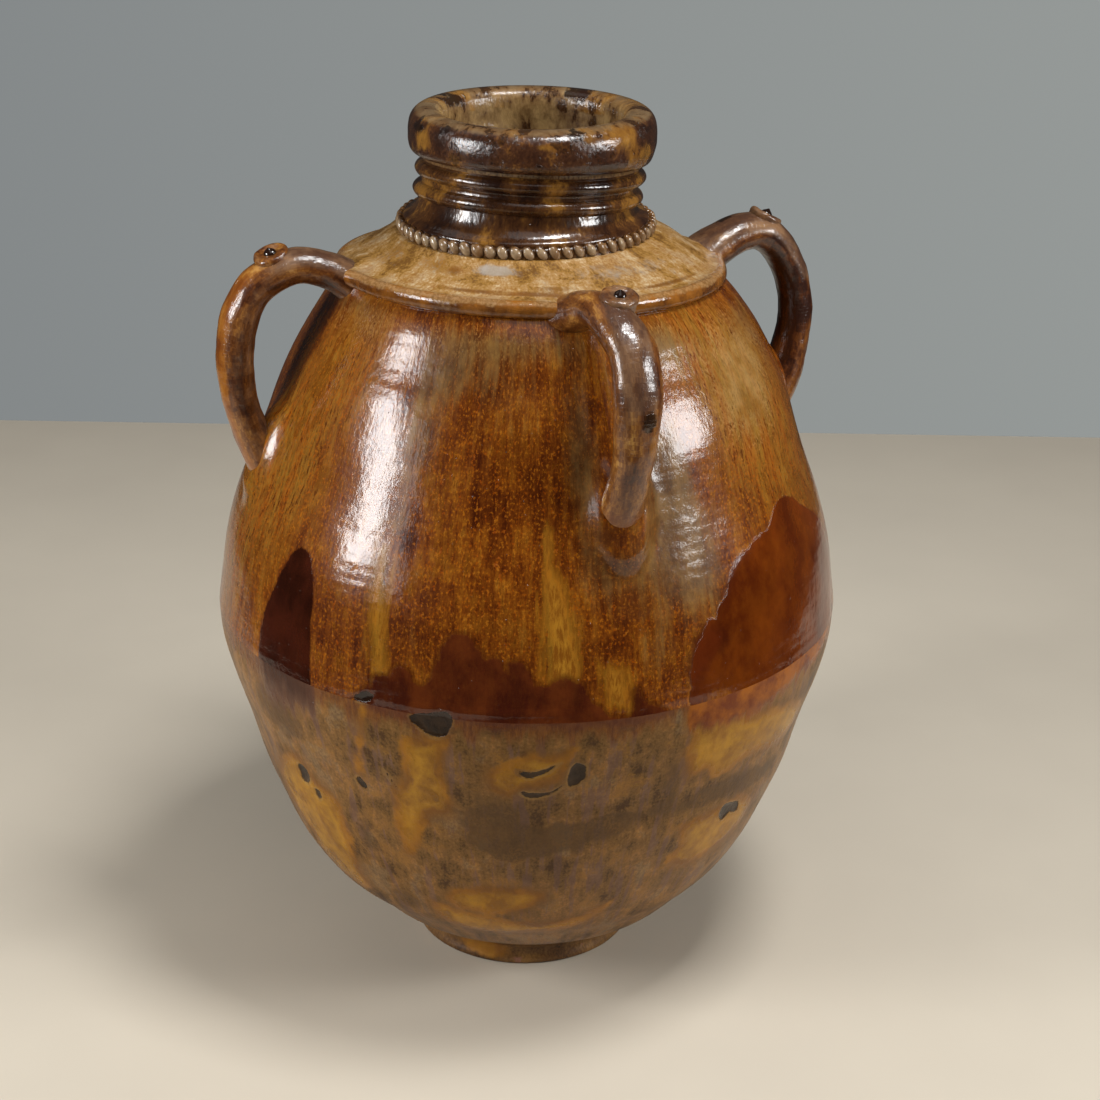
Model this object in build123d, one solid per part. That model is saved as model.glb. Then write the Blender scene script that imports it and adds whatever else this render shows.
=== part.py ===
"""Large glazed earthenware olive jar with four loop handles, built in luted sections.

Every thrown section is turned about the jar's axis from its own half profile. Sections meet
in stepped joints: the lower one carries a raised tongue on the inside of its rim, the upper
one stands on the flat outside of that rim and closes over the tongue.
The origin is the centre of the circle that the foot rests on, and +Z points up the axis.
"""
import os
from math import cos, radians, sin

from build123d import *

os.makedirs("parts", exist_ok=True)

# General sizes in millimetres. Radii are measured from the jar's axis.
wall = 13.0
slip_gap = 0.3
joint_step = 6.0
overrun = 20.0

# Foot ring
foot_radius = 101.0
foot_waist = 2.5
foot_width = 24.0
foot_height = 24.0
foot_edge = 2.5

# Base disc: its rim carries the bowl, its pad is the floor of the jar
base_radius = 106.0
base_thickness = 14.0
base_pad_radius = 110.0
base_boss_depth = 4.0

# Bowl, from the base disc to the seam round the belly, and dome, from there to its rim
belly_radius = 272.5
bowl_rise = 312.0
dome_rise = 286.0
rim_radius = 160.0

# Shoulder: a cone with a rolled ridge round its lower edge and a level shelf at its top
shoulder_rise = 38.5
ridge_radius = 164.5
ridge_height = 14.0
ridge_undercut = 2.0
cone_foot_radius = 153.0
shelf_margin = 7.0

# Neck: collar, cove and two thrown rings
neck_wall = 18.0
collar_step = 13.0
collar_height = 11.5
cove_height = 12.0
neck_radius = 90.0
neck_rise = 57.5
ring_relief = 6.0
ring_height = 13.0
ring_spacing = 17.0

# Rolled lip
lip_overhang = 10.5
lip_rise = 42.0

# Band of beads pressed into the corner between collar and shelf
bead_count = 64
bead_radius = 5.1
bead_sink = 0.5
band_backing = 2.0
band_height = 8.0

# Handles: a coil of oval section, bent over in a tight arc and let down in a long one
handle_width = 36.0
handle_thickness = 30.0
handle_standout = 94.0
handle_drop = 32.0
handle_bend_radius = 52.0
handle_bend_angle = 165.0
handle_fall_radius = 252.0
handle_fall_angle = 30.5
handle_section_count = 13
oval_point_count = 8
root_swell_share = 0.5
root_reach_share = 0.26

# Buttons on the handles: a clay disc with a pip of glaze in its middle
button_radius = 14.0
button_height = 5.5
button_edge = 2.2
button_angle = 80.0
pip_radius = 4.8
pip_height = 4.6
pip_seat_depth = 0.8

# Shapes of the curves, as (share of the rise, share of the spread)
bowl_shares = (
    (0.045, 0.108),
    (0.083, 0.234),
    (0.218, 0.486),
    (0.452, 0.724),
    (0.724, 0.886),
    (0.87, 0.966),
    (0.95, 0.996),
)
dome_shares = ((0.154, 0.942), (0.364, 0.791), (0.573, 0.600), (0.783, 0.364))
lip_outer_shares = ((0.07, 0.89), (0.24, 0.975), (0.50, 1.0), (0.80, 0.95), (0.95, 0.72))
lip_crest_share = 0.34
lip_throat_share = 0.76
pip_side_shares = (0.45, 0.75)

# Places along those curves where the inner face is set off square to the outer one
bowl_inset_shares = (0.28, 0.44, 0.62, 0.82)
dome_inset_shares = (0.14, 0.34, 0.56, 0.78, 1.0)
growth_step_count = 10

# Handles in order round the jar, a quarter turn apart, starting on +X
handle_sides = ("right", "back", "left", "front")

# Heights that follow from the rises
base_top = foot_height + base_thickness
floor_height = base_top + joint_step
seam_height = foot_height + bowl_rise
rim_height = seam_height + dome_rise
shelf_height = rim_height + shoulder_rise
lip_seat_height = shelf_height + neck_rise
jar_height = lip_seat_height + lip_rise

# Radii that follow, and the middle radius of each stepped joint
reach = belly_radius + overrun
foot_bore = foot_radius - foot_width
mouth_radius = neck_radius - neck_wall
collar_radius = neck_radius + collar_step
shelf_radius = collar_radius + shelf_margin
lip_radius = neck_radius + lip_overhang
band_bore = collar_radius + slip_gap
seam_middle = belly_radius - wall / 2
rim_middle = rim_radius - wall / 2
shelf_middle = (collar_radius + mouth_radius) / 2
lip_middle = (neck_radius + mouth_radius) / 2


def turned(section):
    """Turn a half profile, drawn as (radius, height), about the jar's axis."""
    return revolve(Plane.XZ * section, Axis.Z)


def polygon(*points):
    """Face inside a closed chain of straight sides."""
    return make_face(Polyline(*points, close=True))


def disc_zone(radius, low, high):
    """Half profile of a plain disc between two heights."""
    return polygon((0, low), (radius, low), (radius, high), (0, high))


def under_joint(height, middle):
    """Half profile of all that lies under a stepped joint, its tongue included."""
    return disc_zone(reach, 0, height) + disc_zone(middle, height, height + joint_step)


def over_joint(height, middle):
    """Half profile of all that lies over a stepped joint, clear of the tongue."""
    tongue_zone = disc_zone(middle + slip_gap, height, height + joint_step + slip_gap)
    return disc_zone(reach, height, jar_height) - tongue_zone


def inset(curve, share, depth):
    """Point that lies a depth inside an upward profile curve, square to it."""
    way = curve % share
    return curve @ share + Vector(-way.Y, way.X) * depth


def to_axis(curve, *lines):
    """Half profile between the jar's axis and an upward chain of curves."""
    chain = [curve, *lines]
    low, high = chain[0] @ 0, chain[-1] @ 1
    return make_face([*chain, Polyline(high, (0, high.Y), (0, low.Y), low)])


def spline_by_shares(low, high, shares):
    """Upward curve between two points through places given as shares of rise and spread.

    The spread is counted from the point nearer to the axis.
    """
    inner, outer = sorted((low[0], high[0]))
    places = [
        (inner + spread * (outer - inner), low[1] + rise * (high[1] - low[1]))
        for rise, spread in shares
    ]
    return Spline(low, *places, high)


# Outer curves of bowl and dome
belly = (belly_radius, seam_height)
bowl_curve = spline_by_shares((base_radius, foot_height), belly, bowl_shares)
dome_curve = spline_by_shares(belly, (rim_radius, rim_height), dome_shares)

# Outer lines of the shoulder: underside of the ridge, its roll, then the cone
ridge_edge = (ridge_radius - ridge_undercut, rim_height)
cone_foot = (cone_foot_radius, rim_height + ridge_height)
ridge_line = Line((rim_radius, rim_height), ridge_edge)
ridge_roll = ThreePointArc(ridge_edge, (ridge_radius, rim_height + ridge_height / 2), cone_foot)
cone_line = Line(cone_foot, (shelf_radius, shelf_height))

bowl_form = to_axis(bowl_curve)
dome_form = to_axis(dome_curve)
shoulder_form = to_axis(ridge_line, ridge_roll, cone_line)

# Space inside the jar, from its floor up through the mouth
inner_seam = (belly_radius - wall, seam_height)
bowl_inner = Spline(
    (base_pad_radius, floor_height),
    *[inset(bowl_curve, share, wall) for share in bowl_inset_shares],
    inner_seam,
)
dome_inner = Spline(inner_seam, *[inset(dome_curve, share, wall) for share in dome_inset_shares])
shoulder_inner = Polyline(
    dome_inner @ 1,
    inset(cone_line, 0, wall),
    inset(cone_line, 1, wall),
    (mouth_radius, shelf_height - wall),
    (mouth_radius, jar_height + overrun),
)
hollow_form = to_axis(bowl_inner, dome_inner, shoulder_inner)


def make_foot_ring():
    """Turned ring with a waist, bored to take the boss under the base disc."""
    top = (base_radius, foot_height)
    side = ThreePointArc((foot_radius, 0), (foot_radius - foot_waist, foot_height / 2), top)
    ring = turned(to_axis(side) - disc_zone(foot_bore, 0, foot_height))
    return fillet(ring.edges().group_by(Axis.Z)[0], foot_edge)


def make_base_disc():
    """Disc that closes the jar: boss below, ledge for the bowl at its rim, floor pad on top."""
    disc = bowl_form & disc_zone(reach, foot_height, base_top)
    boss = disc_zone(foot_bore - slip_gap, foot_height - base_boss_depth, base_top)
    pad = disc_zone(base_pad_radius, base_top, floor_height)
    return turned(disc + boss + pad)


def make_lower_body():
    """Bowl wall, from the ledge of the base disc to the tongue at the belly seam."""
    over_base = disc_zone(reach, base_top, jar_height) - disc_zone(
        base_pad_radius + slip_gap, base_top, jar_height
    )
    zone = over_base & under_joint(seam_height, seam_middle)
    return turned((bowl_form + dome_form - hollow_form) & zone)


def make_upper_body():
    """Dome wall, from the belly seam to the tongue under the shoulder."""
    zone = over_joint(seam_height, seam_middle) & under_joint(rim_height, rim_middle)
    return turned((dome_form + shoulder_form - hollow_form) & zone)


def make_shoulder():
    """Cone with the rolled ridge, a level shelf on top and a tongue for the neck."""
    tongue = disc_zone(shelf_middle, shelf_height, shelf_height + joint_step)
    zone = over_joint(rim_height, rim_middle)
    return turned((shoulder_form + tongue - hollow_form) & zone)


def make_neck():
    """Collar, cove and two thrown rings, with a tongue for the lip."""
    collar_top = shelf_height + collar_height
    low_ring = collar_top + cove_height
    high_ring = low_ring + ring_spacing
    cove_middle = (neck_radius + (collar_radius - neck_radius) / 3, collar_top + cove_height / 3)
    chain = [
        Line((collar_radius, shelf_height), (collar_radius, collar_top)),
        ThreePointArc((collar_radius, collar_top), cove_middle, (neck_radius, low_ring)),
    ]
    for low, groove_top in ((low_ring, high_ring), (high_ring, lip_seat_height)):
        high = low + ring_height
        crown = (neck_radius + ring_relief, low + ring_height / 2)
        chain.append(ThreePointArc((neck_radius, low), crown, (neck_radius, high)))
        chain.append(Line((neck_radius, high), (neck_radius, groove_top)))
    tongue = disc_zone(lip_middle, lip_seat_height, lip_seat_height + joint_step)
    zone = over_joint(shelf_height, shelf_middle)
    return turned((to_axis(*chain) + tongue - hollow_form) & zone)


def lip_point(rise, spread):
    """Point of the lip's profile from its shares."""
    return (mouth_radius + spread * (lip_radius - mouth_radius), lip_seat_height + rise * lip_rise)


def make_lip():
    """Heavy rolled lip that overhangs the neck and rounds over into the mouth."""
    outer = [lip_point(rise, spread) for rise, spread in lip_outer_shares]
    seat = (neck_radius, lip_seat_height)
    crest = lip_point(1, lip_crest_share)
    throat = lip_point(lip_throat_share, 0)
    section = make_face(
        [
            Line(seat, outer[0]),
            Spline(*outer, crest, tangents=[(1, 2), (-1, 0)]),
            Spline(crest, throat, tangents=[(-1, 0), (0, -1)]),
            Polyline(throat, lip_point(0, 0), seat),
        ]
    )
    return turned(section & over_joint(lip_seat_height, lip_middle))


def make_bead_band():
    """Thin strip with a row of beads, in the corner between the collar and the shelf."""
    low, high = shelf_height, shelf_height + 2 * bead_radius
    corner = turned(disc_zone(reach, low, high) - disc_zone(band_bore, low, high))
    strip = turned(disc_zone(band_bore + band_backing, low, low + band_height))
    place = Pos(shelf_radius - bead_radius, 0, low + bead_radius - bead_sink)
    bead = place * Sphere(bead_radius)
    beads = [Rot(0, 0, 360 * turn / bead_count) * bead for turn in range(bead_count)]
    return (strip + beads) & corner


# Centre line of the handle on +X, as (radius, height), from its upper root to its lower one
bend_height = rim_height - handle_drop
outermost_radius = rim_radius + handle_standout
bend_centre = (outermost_radius - handle_bend_radius, bend_height)
fall_centre = (outermost_radius - handle_fall_radius, bend_height)
handle_path = Plane.XZ * Wire(
    [
        CenterArc(bend_centre, handle_bend_radius, handle_bend_angle, -handle_bend_angle),
        CenterArc(fall_centre, handle_fall_radius, 0, -handle_fall_angle),
    ]
)


def grown(curve):
    """Half profile under an upward curve moved outwards by the slip gap."""
    shares = [step / growth_step_count for step in range(growth_step_count + 1)]
    return to_axis(Spline(*[inset(curve, share, -slip_gap) for share in shares]))


def make_body_form():
    """Outside of dome and shoulder with the slip gap all round, to cut the handles' roots."""
    ridge = grown(ridge_roll)
    return turned(grown(dome_curve) + ridge + Pos(0, -slip_gap) * ridge + grown(cone_line))


def root_swell(share):
    """How much wider the coil is at a share of its length, where it was pressed on."""
    from_root = min(share, 1 - share) / root_reach_share
    return 1 + root_swell_share * max(0, 1 - from_root) ** 2


def oval(half_thickness, half_width):
    """Oval face with its outline starting on the side that faces the jar."""
    turns = [radians(360 * step / oval_point_count) for step in range(oval_point_count)]
    points = [(half_thickness * cos(turn), half_width * sin(turn)) for turn in turns]
    return make_face(Spline(*points, periodic=True))


def make_coil(growth):
    """Bent coil, its oval section grown all round by an amount."""
    sections = []
    for step in range(handle_section_count):
        share = step / (handle_section_count - 1)
        way = handle_path % share
        station = Plane(handle_path @ share, x_dir=Vector(0, 1, 0).cross(way), z_dir=way)
        half_thickness = root_swell(share) * handle_thickness / 2 + growth
        half_width = root_swell(share) * handle_width / 2 + growth
        sections.append(station * oval(half_thickness, half_width))
    return loft(sections)


# Seat of a button: on the outside of the bend, its axis square to the coil
button_axis = Vector(1, 0, 0).rotate(Axis.Y, -button_angle)
crown_reach = handle_bend_radius + handle_thickness / 2
button_seat = Plane(
    Vector(bend_centre[0], 0, bend_centre[1]) + button_axis * crown_reach,
    x_dir=(0, 1, 0),
    z_dir=button_axis,
)


def make_button():
    """Clay disc pressed over the coil, with a shallow seat in its top for the pip."""
    skirt = handle_thickness / 2
    blank = extrude(Circle(button_radius), button_height) + extrude(Circle(button_radius), -skirt)
    blank = fillet(blank.edges().group_by(Axis.Z)[-1], button_edge)
    seat = extrude(Circle(pip_radius + slip_gap), pip_seat_depth)
    blank -= Pos(0, 0, button_height - pip_seat_depth) * seat
    return button_seat * blank - make_coil(slip_gap)


def make_pip():
    """Drop of glaze: a dome drawn up to a blunt point."""
    rise, spread = pip_side_shares
    side = Spline((pip_radius, 0), (spread * pip_radius, rise * pip_height), (0, pip_height))
    section = make_face([side, Polyline((0, pip_height), (0, 0), (pip_radius, 0))])
    return button_seat * Pos(0, 0, button_height - pip_seat_depth) * turned(section)


pieces = {
    "foot_ring": make_foot_ring(),
    "base_disc": make_base_disc(),
    "lower_body": make_lower_body(),
    "upper_body": make_upper_body(),
    "shoulder": make_shoulder(),
    "neck": make_neck(),
    "lip": make_lip(),
    "bead_band": make_bead_band(),
}
handle = make_coil(0) - make_body_form()
button = make_button()
pip = make_pip()
for index, side in enumerate(handle_sides):
    quarter = Rot(0, 0, 360 * index / len(handle_sides))
    pieces[f"handle_{side}"] = quarter * handle
    pieces[f"button_{side}"] = quarter * button
    pieces[f"pip_{side}"] = quarter * pip

for node, piece in pieces.items():
    export_step(piece, f"parts/{node}.step")
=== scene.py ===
"""Glazed olive jar: its looks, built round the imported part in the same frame.

Every thrown section is turned from its own half profile and then pulled a little out of true,
as a thrower's hands leave it. The lead glaze is laid on by place: angle round the jar, as seen
from the camera's side, and height above the floor. Shapes are worked out in millimetres, and
meshes, lamps and the camera take them in metres.
"""
import math

import bpy
import numpy as np
from mathutils import Matrix, Vector, noise


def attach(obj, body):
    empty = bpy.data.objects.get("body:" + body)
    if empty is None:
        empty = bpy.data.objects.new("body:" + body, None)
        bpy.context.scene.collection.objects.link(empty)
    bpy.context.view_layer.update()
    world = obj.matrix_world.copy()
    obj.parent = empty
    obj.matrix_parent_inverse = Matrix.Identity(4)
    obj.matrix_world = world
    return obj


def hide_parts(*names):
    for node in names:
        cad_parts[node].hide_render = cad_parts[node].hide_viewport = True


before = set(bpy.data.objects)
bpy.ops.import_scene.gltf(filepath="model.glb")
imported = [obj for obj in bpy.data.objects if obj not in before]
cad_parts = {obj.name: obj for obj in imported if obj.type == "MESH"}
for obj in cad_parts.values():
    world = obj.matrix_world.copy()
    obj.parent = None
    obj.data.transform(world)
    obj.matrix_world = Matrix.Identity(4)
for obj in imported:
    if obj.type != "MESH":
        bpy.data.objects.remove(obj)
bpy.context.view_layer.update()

MM = 0.001
VIEW_TURN = math.radians(19.0)  # the jar stands turned by this much from its front handle


# Camera, floor and lamps

CAMERA_PLACE = Vector((-564.6, -1700.9, 1132.0)) * MM
CAMERA_HEADING = Vector((0.3256, 0.9455, 0.0))
CAMERA_PITCH = math.radians(23.11)
CAMERA_ROLL = math.radians(0.91)
LENS, SENSOR, CLIP_START, CLIP_END = 72.0, 36.0, 0.05, 60.0

# The floor, in metres from the jar's axis: its far edge, half its width and its depth
FLOOR_END, FLOOR_HALF_WIDTH, FLOOR_DEPTH = 1.325, 1.15, 2.3
ROOM_LIGHT = 0.035  # what the room itself adds to the lamps
GREY_FROM, GREY_TO = 0.05, 0.6  # where the grey behind the jar pales, as a share of the way to +X: painted light, brighter towards the right as if lit more from that side
LAMP_AIM = Vector((0, 0, 0.5))
LAMPS = (
    # name, angle from the camera's side, elevation, distance, width, height, roll, watts
    ("key_from_above", 56.0, 70.0, 2.2, 0.6, 0.6, 0.0, 38.0),
    ("soft_box_left", -66.0, 18.0, 2.1, 0.42, 0.85, 24.0, 31.0),
    ("soft_box_left_edge", -51.0, 17.0, 2.1, 0.25, 0.9, 20.0, 2.6),
    ("soft_box_right", 70.0, 19.5, 2.2, 0.66, 0.62, 0.0, 28.0),
    ("fill_left", -110.0, 60.0, 2.5, 1.2, 1.2, 0.0, 2.0),
    ("fill_front", 5.0, 64.0, 2.6, 1.4, 1.4, 0.0, 5.0),
)


def set_camera():
    """Camera at the photograph's angle: it looks down on the shoulder, tipped a little to one side."""
    heading = CAMERA_HEADING.normalized()
    ahead = heading * math.cos(CAMERA_PITCH) - Vector((0, 0, math.sin(CAMERA_PITCH)))
    right = Vector((heading.y, -heading.x, 0))
    up = right.cross(ahead)
    rolled_right = right * math.cos(CAMERA_ROLL) + up * math.sin(CAMERA_ROLL)
    rolled_up = up * math.cos(CAMERA_ROLL) - right * math.sin(CAMERA_ROLL)
    data = bpy.data.cameras.new("camera")
    data.lens, data.sensor_width = LENS, SENSOR
    data.clip_start, data.clip_end = CLIP_START, CLIP_END
    camera = bpy.data.objects.new("camera", data)
    axes = Matrix((rolled_right, rolled_up, -ahead)).transposed().to_4x4()
    camera.matrix_world = Matrix.Translation(CAMERA_PLACE) @ axes
    bpy.context.collection.objects.link(camera)
    bpy.context.scene.camera = camera


def seen(angle, radius, height):
    """Point at an angle round the jar counted from the camera's side, in degrees and metres."""
    turn = math.radians(angle) - VIEW_TURN
    return Vector((radius * math.sin(turn), -radius * math.cos(turn), height))


def hex_colour(text):
    """sRGB hex to the linear colour that the shaders take."""
    shares = (int(text[i:i + 2], 16) / 255 for i in (0, 2, 4))
    return (*(v / 12.92 if v <= 0.04045 else ((v + 0.055) / 1.055) ** 2.4 for v in shares), 1.0)


def put(tree, kind, inputs=None, **settings):
    """Adds one node, with a value or a feeding socket for each input, and gives its outputs.

    A kind without its family's name is a shader node.
    """
    if not kind.startswith(("Geometry", "Function", "NodeGroup")):
        kind = "ShaderNode" + kind
    node = tree.nodes.new(kind)
    for name, value in settings.items():
        setattr(node, name, value)
    for key, value in (inputs or {}).items():
        if isinstance(value, bpy.types.NodeSocket):
            tree.links.new(value, node.inputs[key])
        else:
            node.inputs[key].default_value = value
    return node.outputs


def plain_object(name, points, faces):
    mesh = bpy.data.meshes.new(name)
    mesh.from_pydata([tuple(p) for p in points], [], faces)
    mesh.update()
    thing = bpy.data.objects.new(name, mesh)
    bpy.context.collection.objects.link(thing)
    return thing


def set_room():
    """Pale floor that ends before a grey room, a key lamp high up, soft boxes and two fills."""
    behind = CAMERA_HEADING.normalized()
    side = Vector((behind.y, -behind.x, 0)) * FLOOR_HALF_WIDTH
    far, near = behind * FLOOR_END, behind * (FLOOR_END - FLOOR_DEPTH)
    floor = plain_object("floor", [far - side, far + side, near + side, near - side], [(3, 2, 1, 0)])
    # Matt painted board: faint clouds of wear in the paint
    paint = bpy.data.materials.new("matt_painted_board")
    paint.use_nodes = True
    tree = paint.node_tree
    place = put(tree, "TexCoord")["Object"]
    wear = put(tree, "TexNoise", {"Vector": place, "Scale": 6.0, "Detail": 5.0})[0]
    tint = put(tree, "Mix", {0: wear, 6: hex_colour("C8BEAD"), 7: hex_colour("D1C7B5")}, data_type="RGBA")[2]
    shader = tree.nodes["Principled BSDF"]
    tree.links.new(tint, shader.inputs["Base Color"])
    shader.inputs["Roughness"].default_value = 0.75
    floor.data.materials.append(paint)

    for name, angle, elevation, distance, width, height, roll, watts in LAMPS:
        data = bpy.data.lights.new(name, "AREA")
        data.shape, data.size, data.size_y, data.energy = "RECTANGLE", width, height, watts
        lamp = bpy.data.objects.new(name, data)
        lift = math.radians(elevation)
        lamp.location = LAMP_AIM + seen(angle, distance * math.cos(lift), distance * math.sin(lift))
        facing = (LAMP_AIM - lamp.location).to_track_quat("-Z", "Y").to_matrix()
        lamp.rotation_euler = (facing @ Matrix.Rotation(math.radians(roll), 3, "Z")).to_euler()
        bpy.context.collection.objects.link(lamp)

    # The room lights the jar only a little, but shows as a grey that pales towards the right: painted light
    # on the backdrop, as if lit more from that side
    world = bpy.data.worlds.new("studio")
    bpy.context.scene.world = world
    world.use_nodes = True
    tree = world.node_tree
    dim = tree.nodes["Background"]
    dim.inputs["Color"].default_value = hex_colour("D9DDDF")
    dim.inputs["Strength"].default_value = ROOM_LIGHT
    way = put(tree, "SeparateXYZ", {0: put(tree, "TexCoord")["Generated"]})[0]
    paler = put(tree, "MapRange", {"Value": way, "From Min": GREY_FROM, "From Max": GREY_TO})[0]
    grey = put(tree, "Mix", {0: paler, 6: hex_colour("848889"), 7: hex_colour("979B99")}, data_type="RGBA")[2]
    shown = put(tree, "Background", {"Color": grey})[0]
    ray = put(tree, "LightPath")["Is Camera Ray"]
    both = put(tree, "MixShader", {0: ray, 1: dim.outputs[0], 2: shown})[0]
    tree.links.new(both, tree.nodes["World Output"].inputs["Surface"])


# Profiles of the thrown sections

def lengths_of(line):
    """How far along a line each of its points lies."""
    return np.concatenate([[0], np.cumsum(np.hypot(*np.diff(line, axis=0).T))])


def spline(points, step):
    """Smooth line through points, as close points a step apart, in millimetres."""
    pts = np.array(points, float)
    chord = lengths_of(pts)
    count = len(pts)
    gaps = np.diff(chord)
    system, load = np.eye(count), np.zeros((count, 2))
    for i in range(1, count - 1):
        system[i, i - 1:i + 2] = gaps[i - 1], 2 * (gaps[i - 1] + gaps[i]), gaps[i]
        load[i] = 6 * ((pts[i + 1] - pts[i]) / gaps[i] - (pts[i] - pts[i - 1]) / gaps[i - 1])
    bend = np.linalg.solve(system, load)
    at = np.linspace(0, chord[-1], max(2, int(round(chord[-1] / step)) + 1))
    i = np.clip(np.searchsorted(chord, at, side="right") - 1, 0, count - 2)
    h, a, b = gaps[i][:, None], (chord[i + 1] - at)[:, None], (at - chord[i])[:, None]
    return (
        bend[i] * a ** 3 / (6 * h) + bend[i + 1] * b ** 3 / (6 * h)
        + (pts[i] / h - bend[i] * h / 6) * a + (pts[i + 1] / h - bend[i + 1] * h / 6) * b
    )


def straight(points, step):
    """Straight runs through points, as close points at most a step apart."""
    out = [np.array(points[0], float)]
    for p, q in zip(points, points[1:]):
        p, q = np.array(p, float), np.array(q, float)
        parts = max(1, int(math.ceil(np.hypot(*(q - p)) / step)))
        out += [p + (q - p) * k / parts for k in range(1, parts + 1)]
    return np.array(out)


SAME_POINT = 0.05  # points of a profile closer than this are one


def outline(*runs):
    """Closed half profile from its runs, each starting where the last one ended."""
    rows = []
    for point in np.concatenate(runs):
        if not rows or np.hypot(*(point - rows[-1])) > SAME_POINT:
            rows.append(point)
    if np.hypot(*(rows[0] - rows[-1])) < SAME_POINT:
        rows.pop()
    return np.array(rows)


BOWL = [(106, 24), (114.8, 31), (124, 38), (145, 50), (160.5, 65), (173, 78), (187, 92), (200, 110),
        (214, 135), (226.5, 165), (239.5, 200), (249, 235), (258.5, 265), (267, 295), (271.2, 318),
        (272.3, 336)]
DOME = [(272.3, 336), (270.2, 352), (266, 380), (259.8, 410), (250, 440), (238, 470), (227, 500), (216, 530),
        (202, 560), (184, 590), (170, 610), (160, 622)]
INNER_BOWL = [(110.3, 44), (130, 56), (152, 75), (176, 100), (200, 137), (213.5, 170), (226, 204),
              (236.5, 239), (246, 269), (254, 297), (258.3, 318), (259.3, 336)]
INNER_DOME = [(259.3, 342.3), (257, 353), (253, 378), (247, 405), (238, 434), (226, 464), (215, 494),
              (205, 523), (191, 552), (174, 580), (160, 600), (147.5, 614)]
FINE, COARSE = 2.6, 9.0  # steps along a profile where the glaze is seen and where it is not
WELD = 0.02  # points of a piece closer than this are one
SHARP_ANGLE = math.radians(48)
TINY = 1e-9  # keeps a division from meeting nought


NECK_RING = [(90, 0), (92.2, 0.9), (94.6, 3), (96, 6.5), (94.6, 10), (92.2, 12.1), (90, 13)]
NECK_RING_FEET = (684, 701)
LEDGE = 38  # height of the base disc's ledge, where the bowl's wall begins


def profiles():
    """Half profile of each thrown piece, up its outside and down its inside, in millimetres.

    With it go the steps round the axis and the number of points on the outside.
    """
    bowl = spline(BOWL, FINE)
    foot_side, bowl_side = bowl[bowl[:, 1] < LEDGE], bowl[bowl[:, 1] >= LEDGE]
    low_ring, high_ring = (
        spline([(r, foot + rise) for r, rise in NECK_RING], 1.2) for foot in NECK_RING_FEET
    )
    sections = {
        "foot_ring": (300, 1, (
            spline([(95, 0), (98.5, 0.1), (100.8, 1.6), (100.6, 5), (98.9, 9), (98.4, 13), (99.6, 18),
                    (102.8, 22.3), (106, 24)], 1.4),
            straight([(106, 24), (77, 24), (77, 3)], 5),
            spline([(77, 3), (77.9, 0.8), (80, 0)], 1.2),
            straight([(80, 0), (95, 0)], 4),
        )),
        "base_disc": (240, 1, (
            foot_side, straight([foot_side[-1], (124, 38), (110, 38), (110, 44), (0, 44)], 9),
            straight([(0, 20), (76.7, 20), (76.7, 24), (106, 24)], 9),
        )),
        "lower_body": (560, 2, (
            straight([(124, 38), bowl_side[0]], FINE), bowl_side,
            straight([(272.3, 336), (266, 336), (266, 342), (259.3, 342)], COARSE),
            spline(INNER_BOWL[::-1], COARSE),
            straight([(110.3, 44), (110.3, 38), (124, 38)], COARSE),
        )),
        "upper_body": (560, 1, (
            spline(DOME, FINE),
            straight([(160, 622), (153.5, 622), (153.5, 628), (147.5, 628), (147.5, 614)], COARSE),
            spline(INNER_DOME[::-1], COARSE),
            straight([(259.3, 342.3), (266.3, 342.3), (266.3, 336), (272.3, 336)], COARSE),
        )),
        "shoulder": (520, 2, (
            straight([(160, 622), (161.6, 622)], 2),
            spline([(161.6, 622), (163.4, 623.6), (164.4, 626.4), (164.4, 629.8), (163.2, 632.8),
                    (160.6, 635), (157, 635.9), (153.4, 636.6), (149, 638.6), (140, 643.6), (125, 652.1),
                    (110, 660.5)], 1.5),
            straight([(110, 660.5), (87.5, 660.5), (87.5, 666.5), (72, 666.5), (72, 647.5), (105, 647.5),
                      (146, 625), (146, 628.3), (153.8, 628.3), (153.8, 622), (160, 622)], 6),
        )),
        "neck": (420, 5, (
            straight([(103, 660.5), (103, 670.5)], 2),
            spline([(103, 670.5), (102.4, 672), (99.4, 673.8), (95, 676.4), (91.6, 680), (90, 684)], 1.3),
            low_ring, spline([(90, 697), (89.6, 699), (90, 701)], 1), high_ring,
            straight([(90, 714), (89.8, 716), (90, 718), (81, 718), (81, 724), (72, 724)], 3),
            straight([(72, 724), (72, 666.8), (87.8, 666.8), (87.8, 660.5), (103, 660.5)], 4),
        )),
        "lip": (420, 1, (
            spline([(90, 718), (94.5, 718.9), (98, 721.4), (99.8, 726), (100.4, 733), (100.4, 742),
                    (99.4, 749.5), (96.6, 755.2), (91, 758.9), (84.5, 760), (78.6, 759), (74.4, 755.6),
                    (72.4, 750.5), (72, 745)], 1.4),
            straight([(72, 745), (72, 724.3), (81.3, 724.3), (81.3, 718), (90, 718)], 2.5),
        )),
    }
    return {
        node: (turns, len(outline(*runs[:outer])), outline(*runs))
        for node, (turns, outer, runs) in sections.items()
    }


def start_tree(name, inputs, result):
    """Geometry tree with its named inputs, given by kind, and its one output; gives it and its inputs."""
    tree = bpy.data.node_groups.new(name, "GeometryNodeTree")
    for kind, titles in inputs.items():
        for title in titles:
            tree.interface.new_socket(title, in_out="INPUT", socket_type="NodeSocket" + kind)
    tree.interface.new_socket(result, in_out="OUTPUT", socket_type="NodeSocketGeometry")
    return tree, put(tree, "NodeGroupInput")


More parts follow.
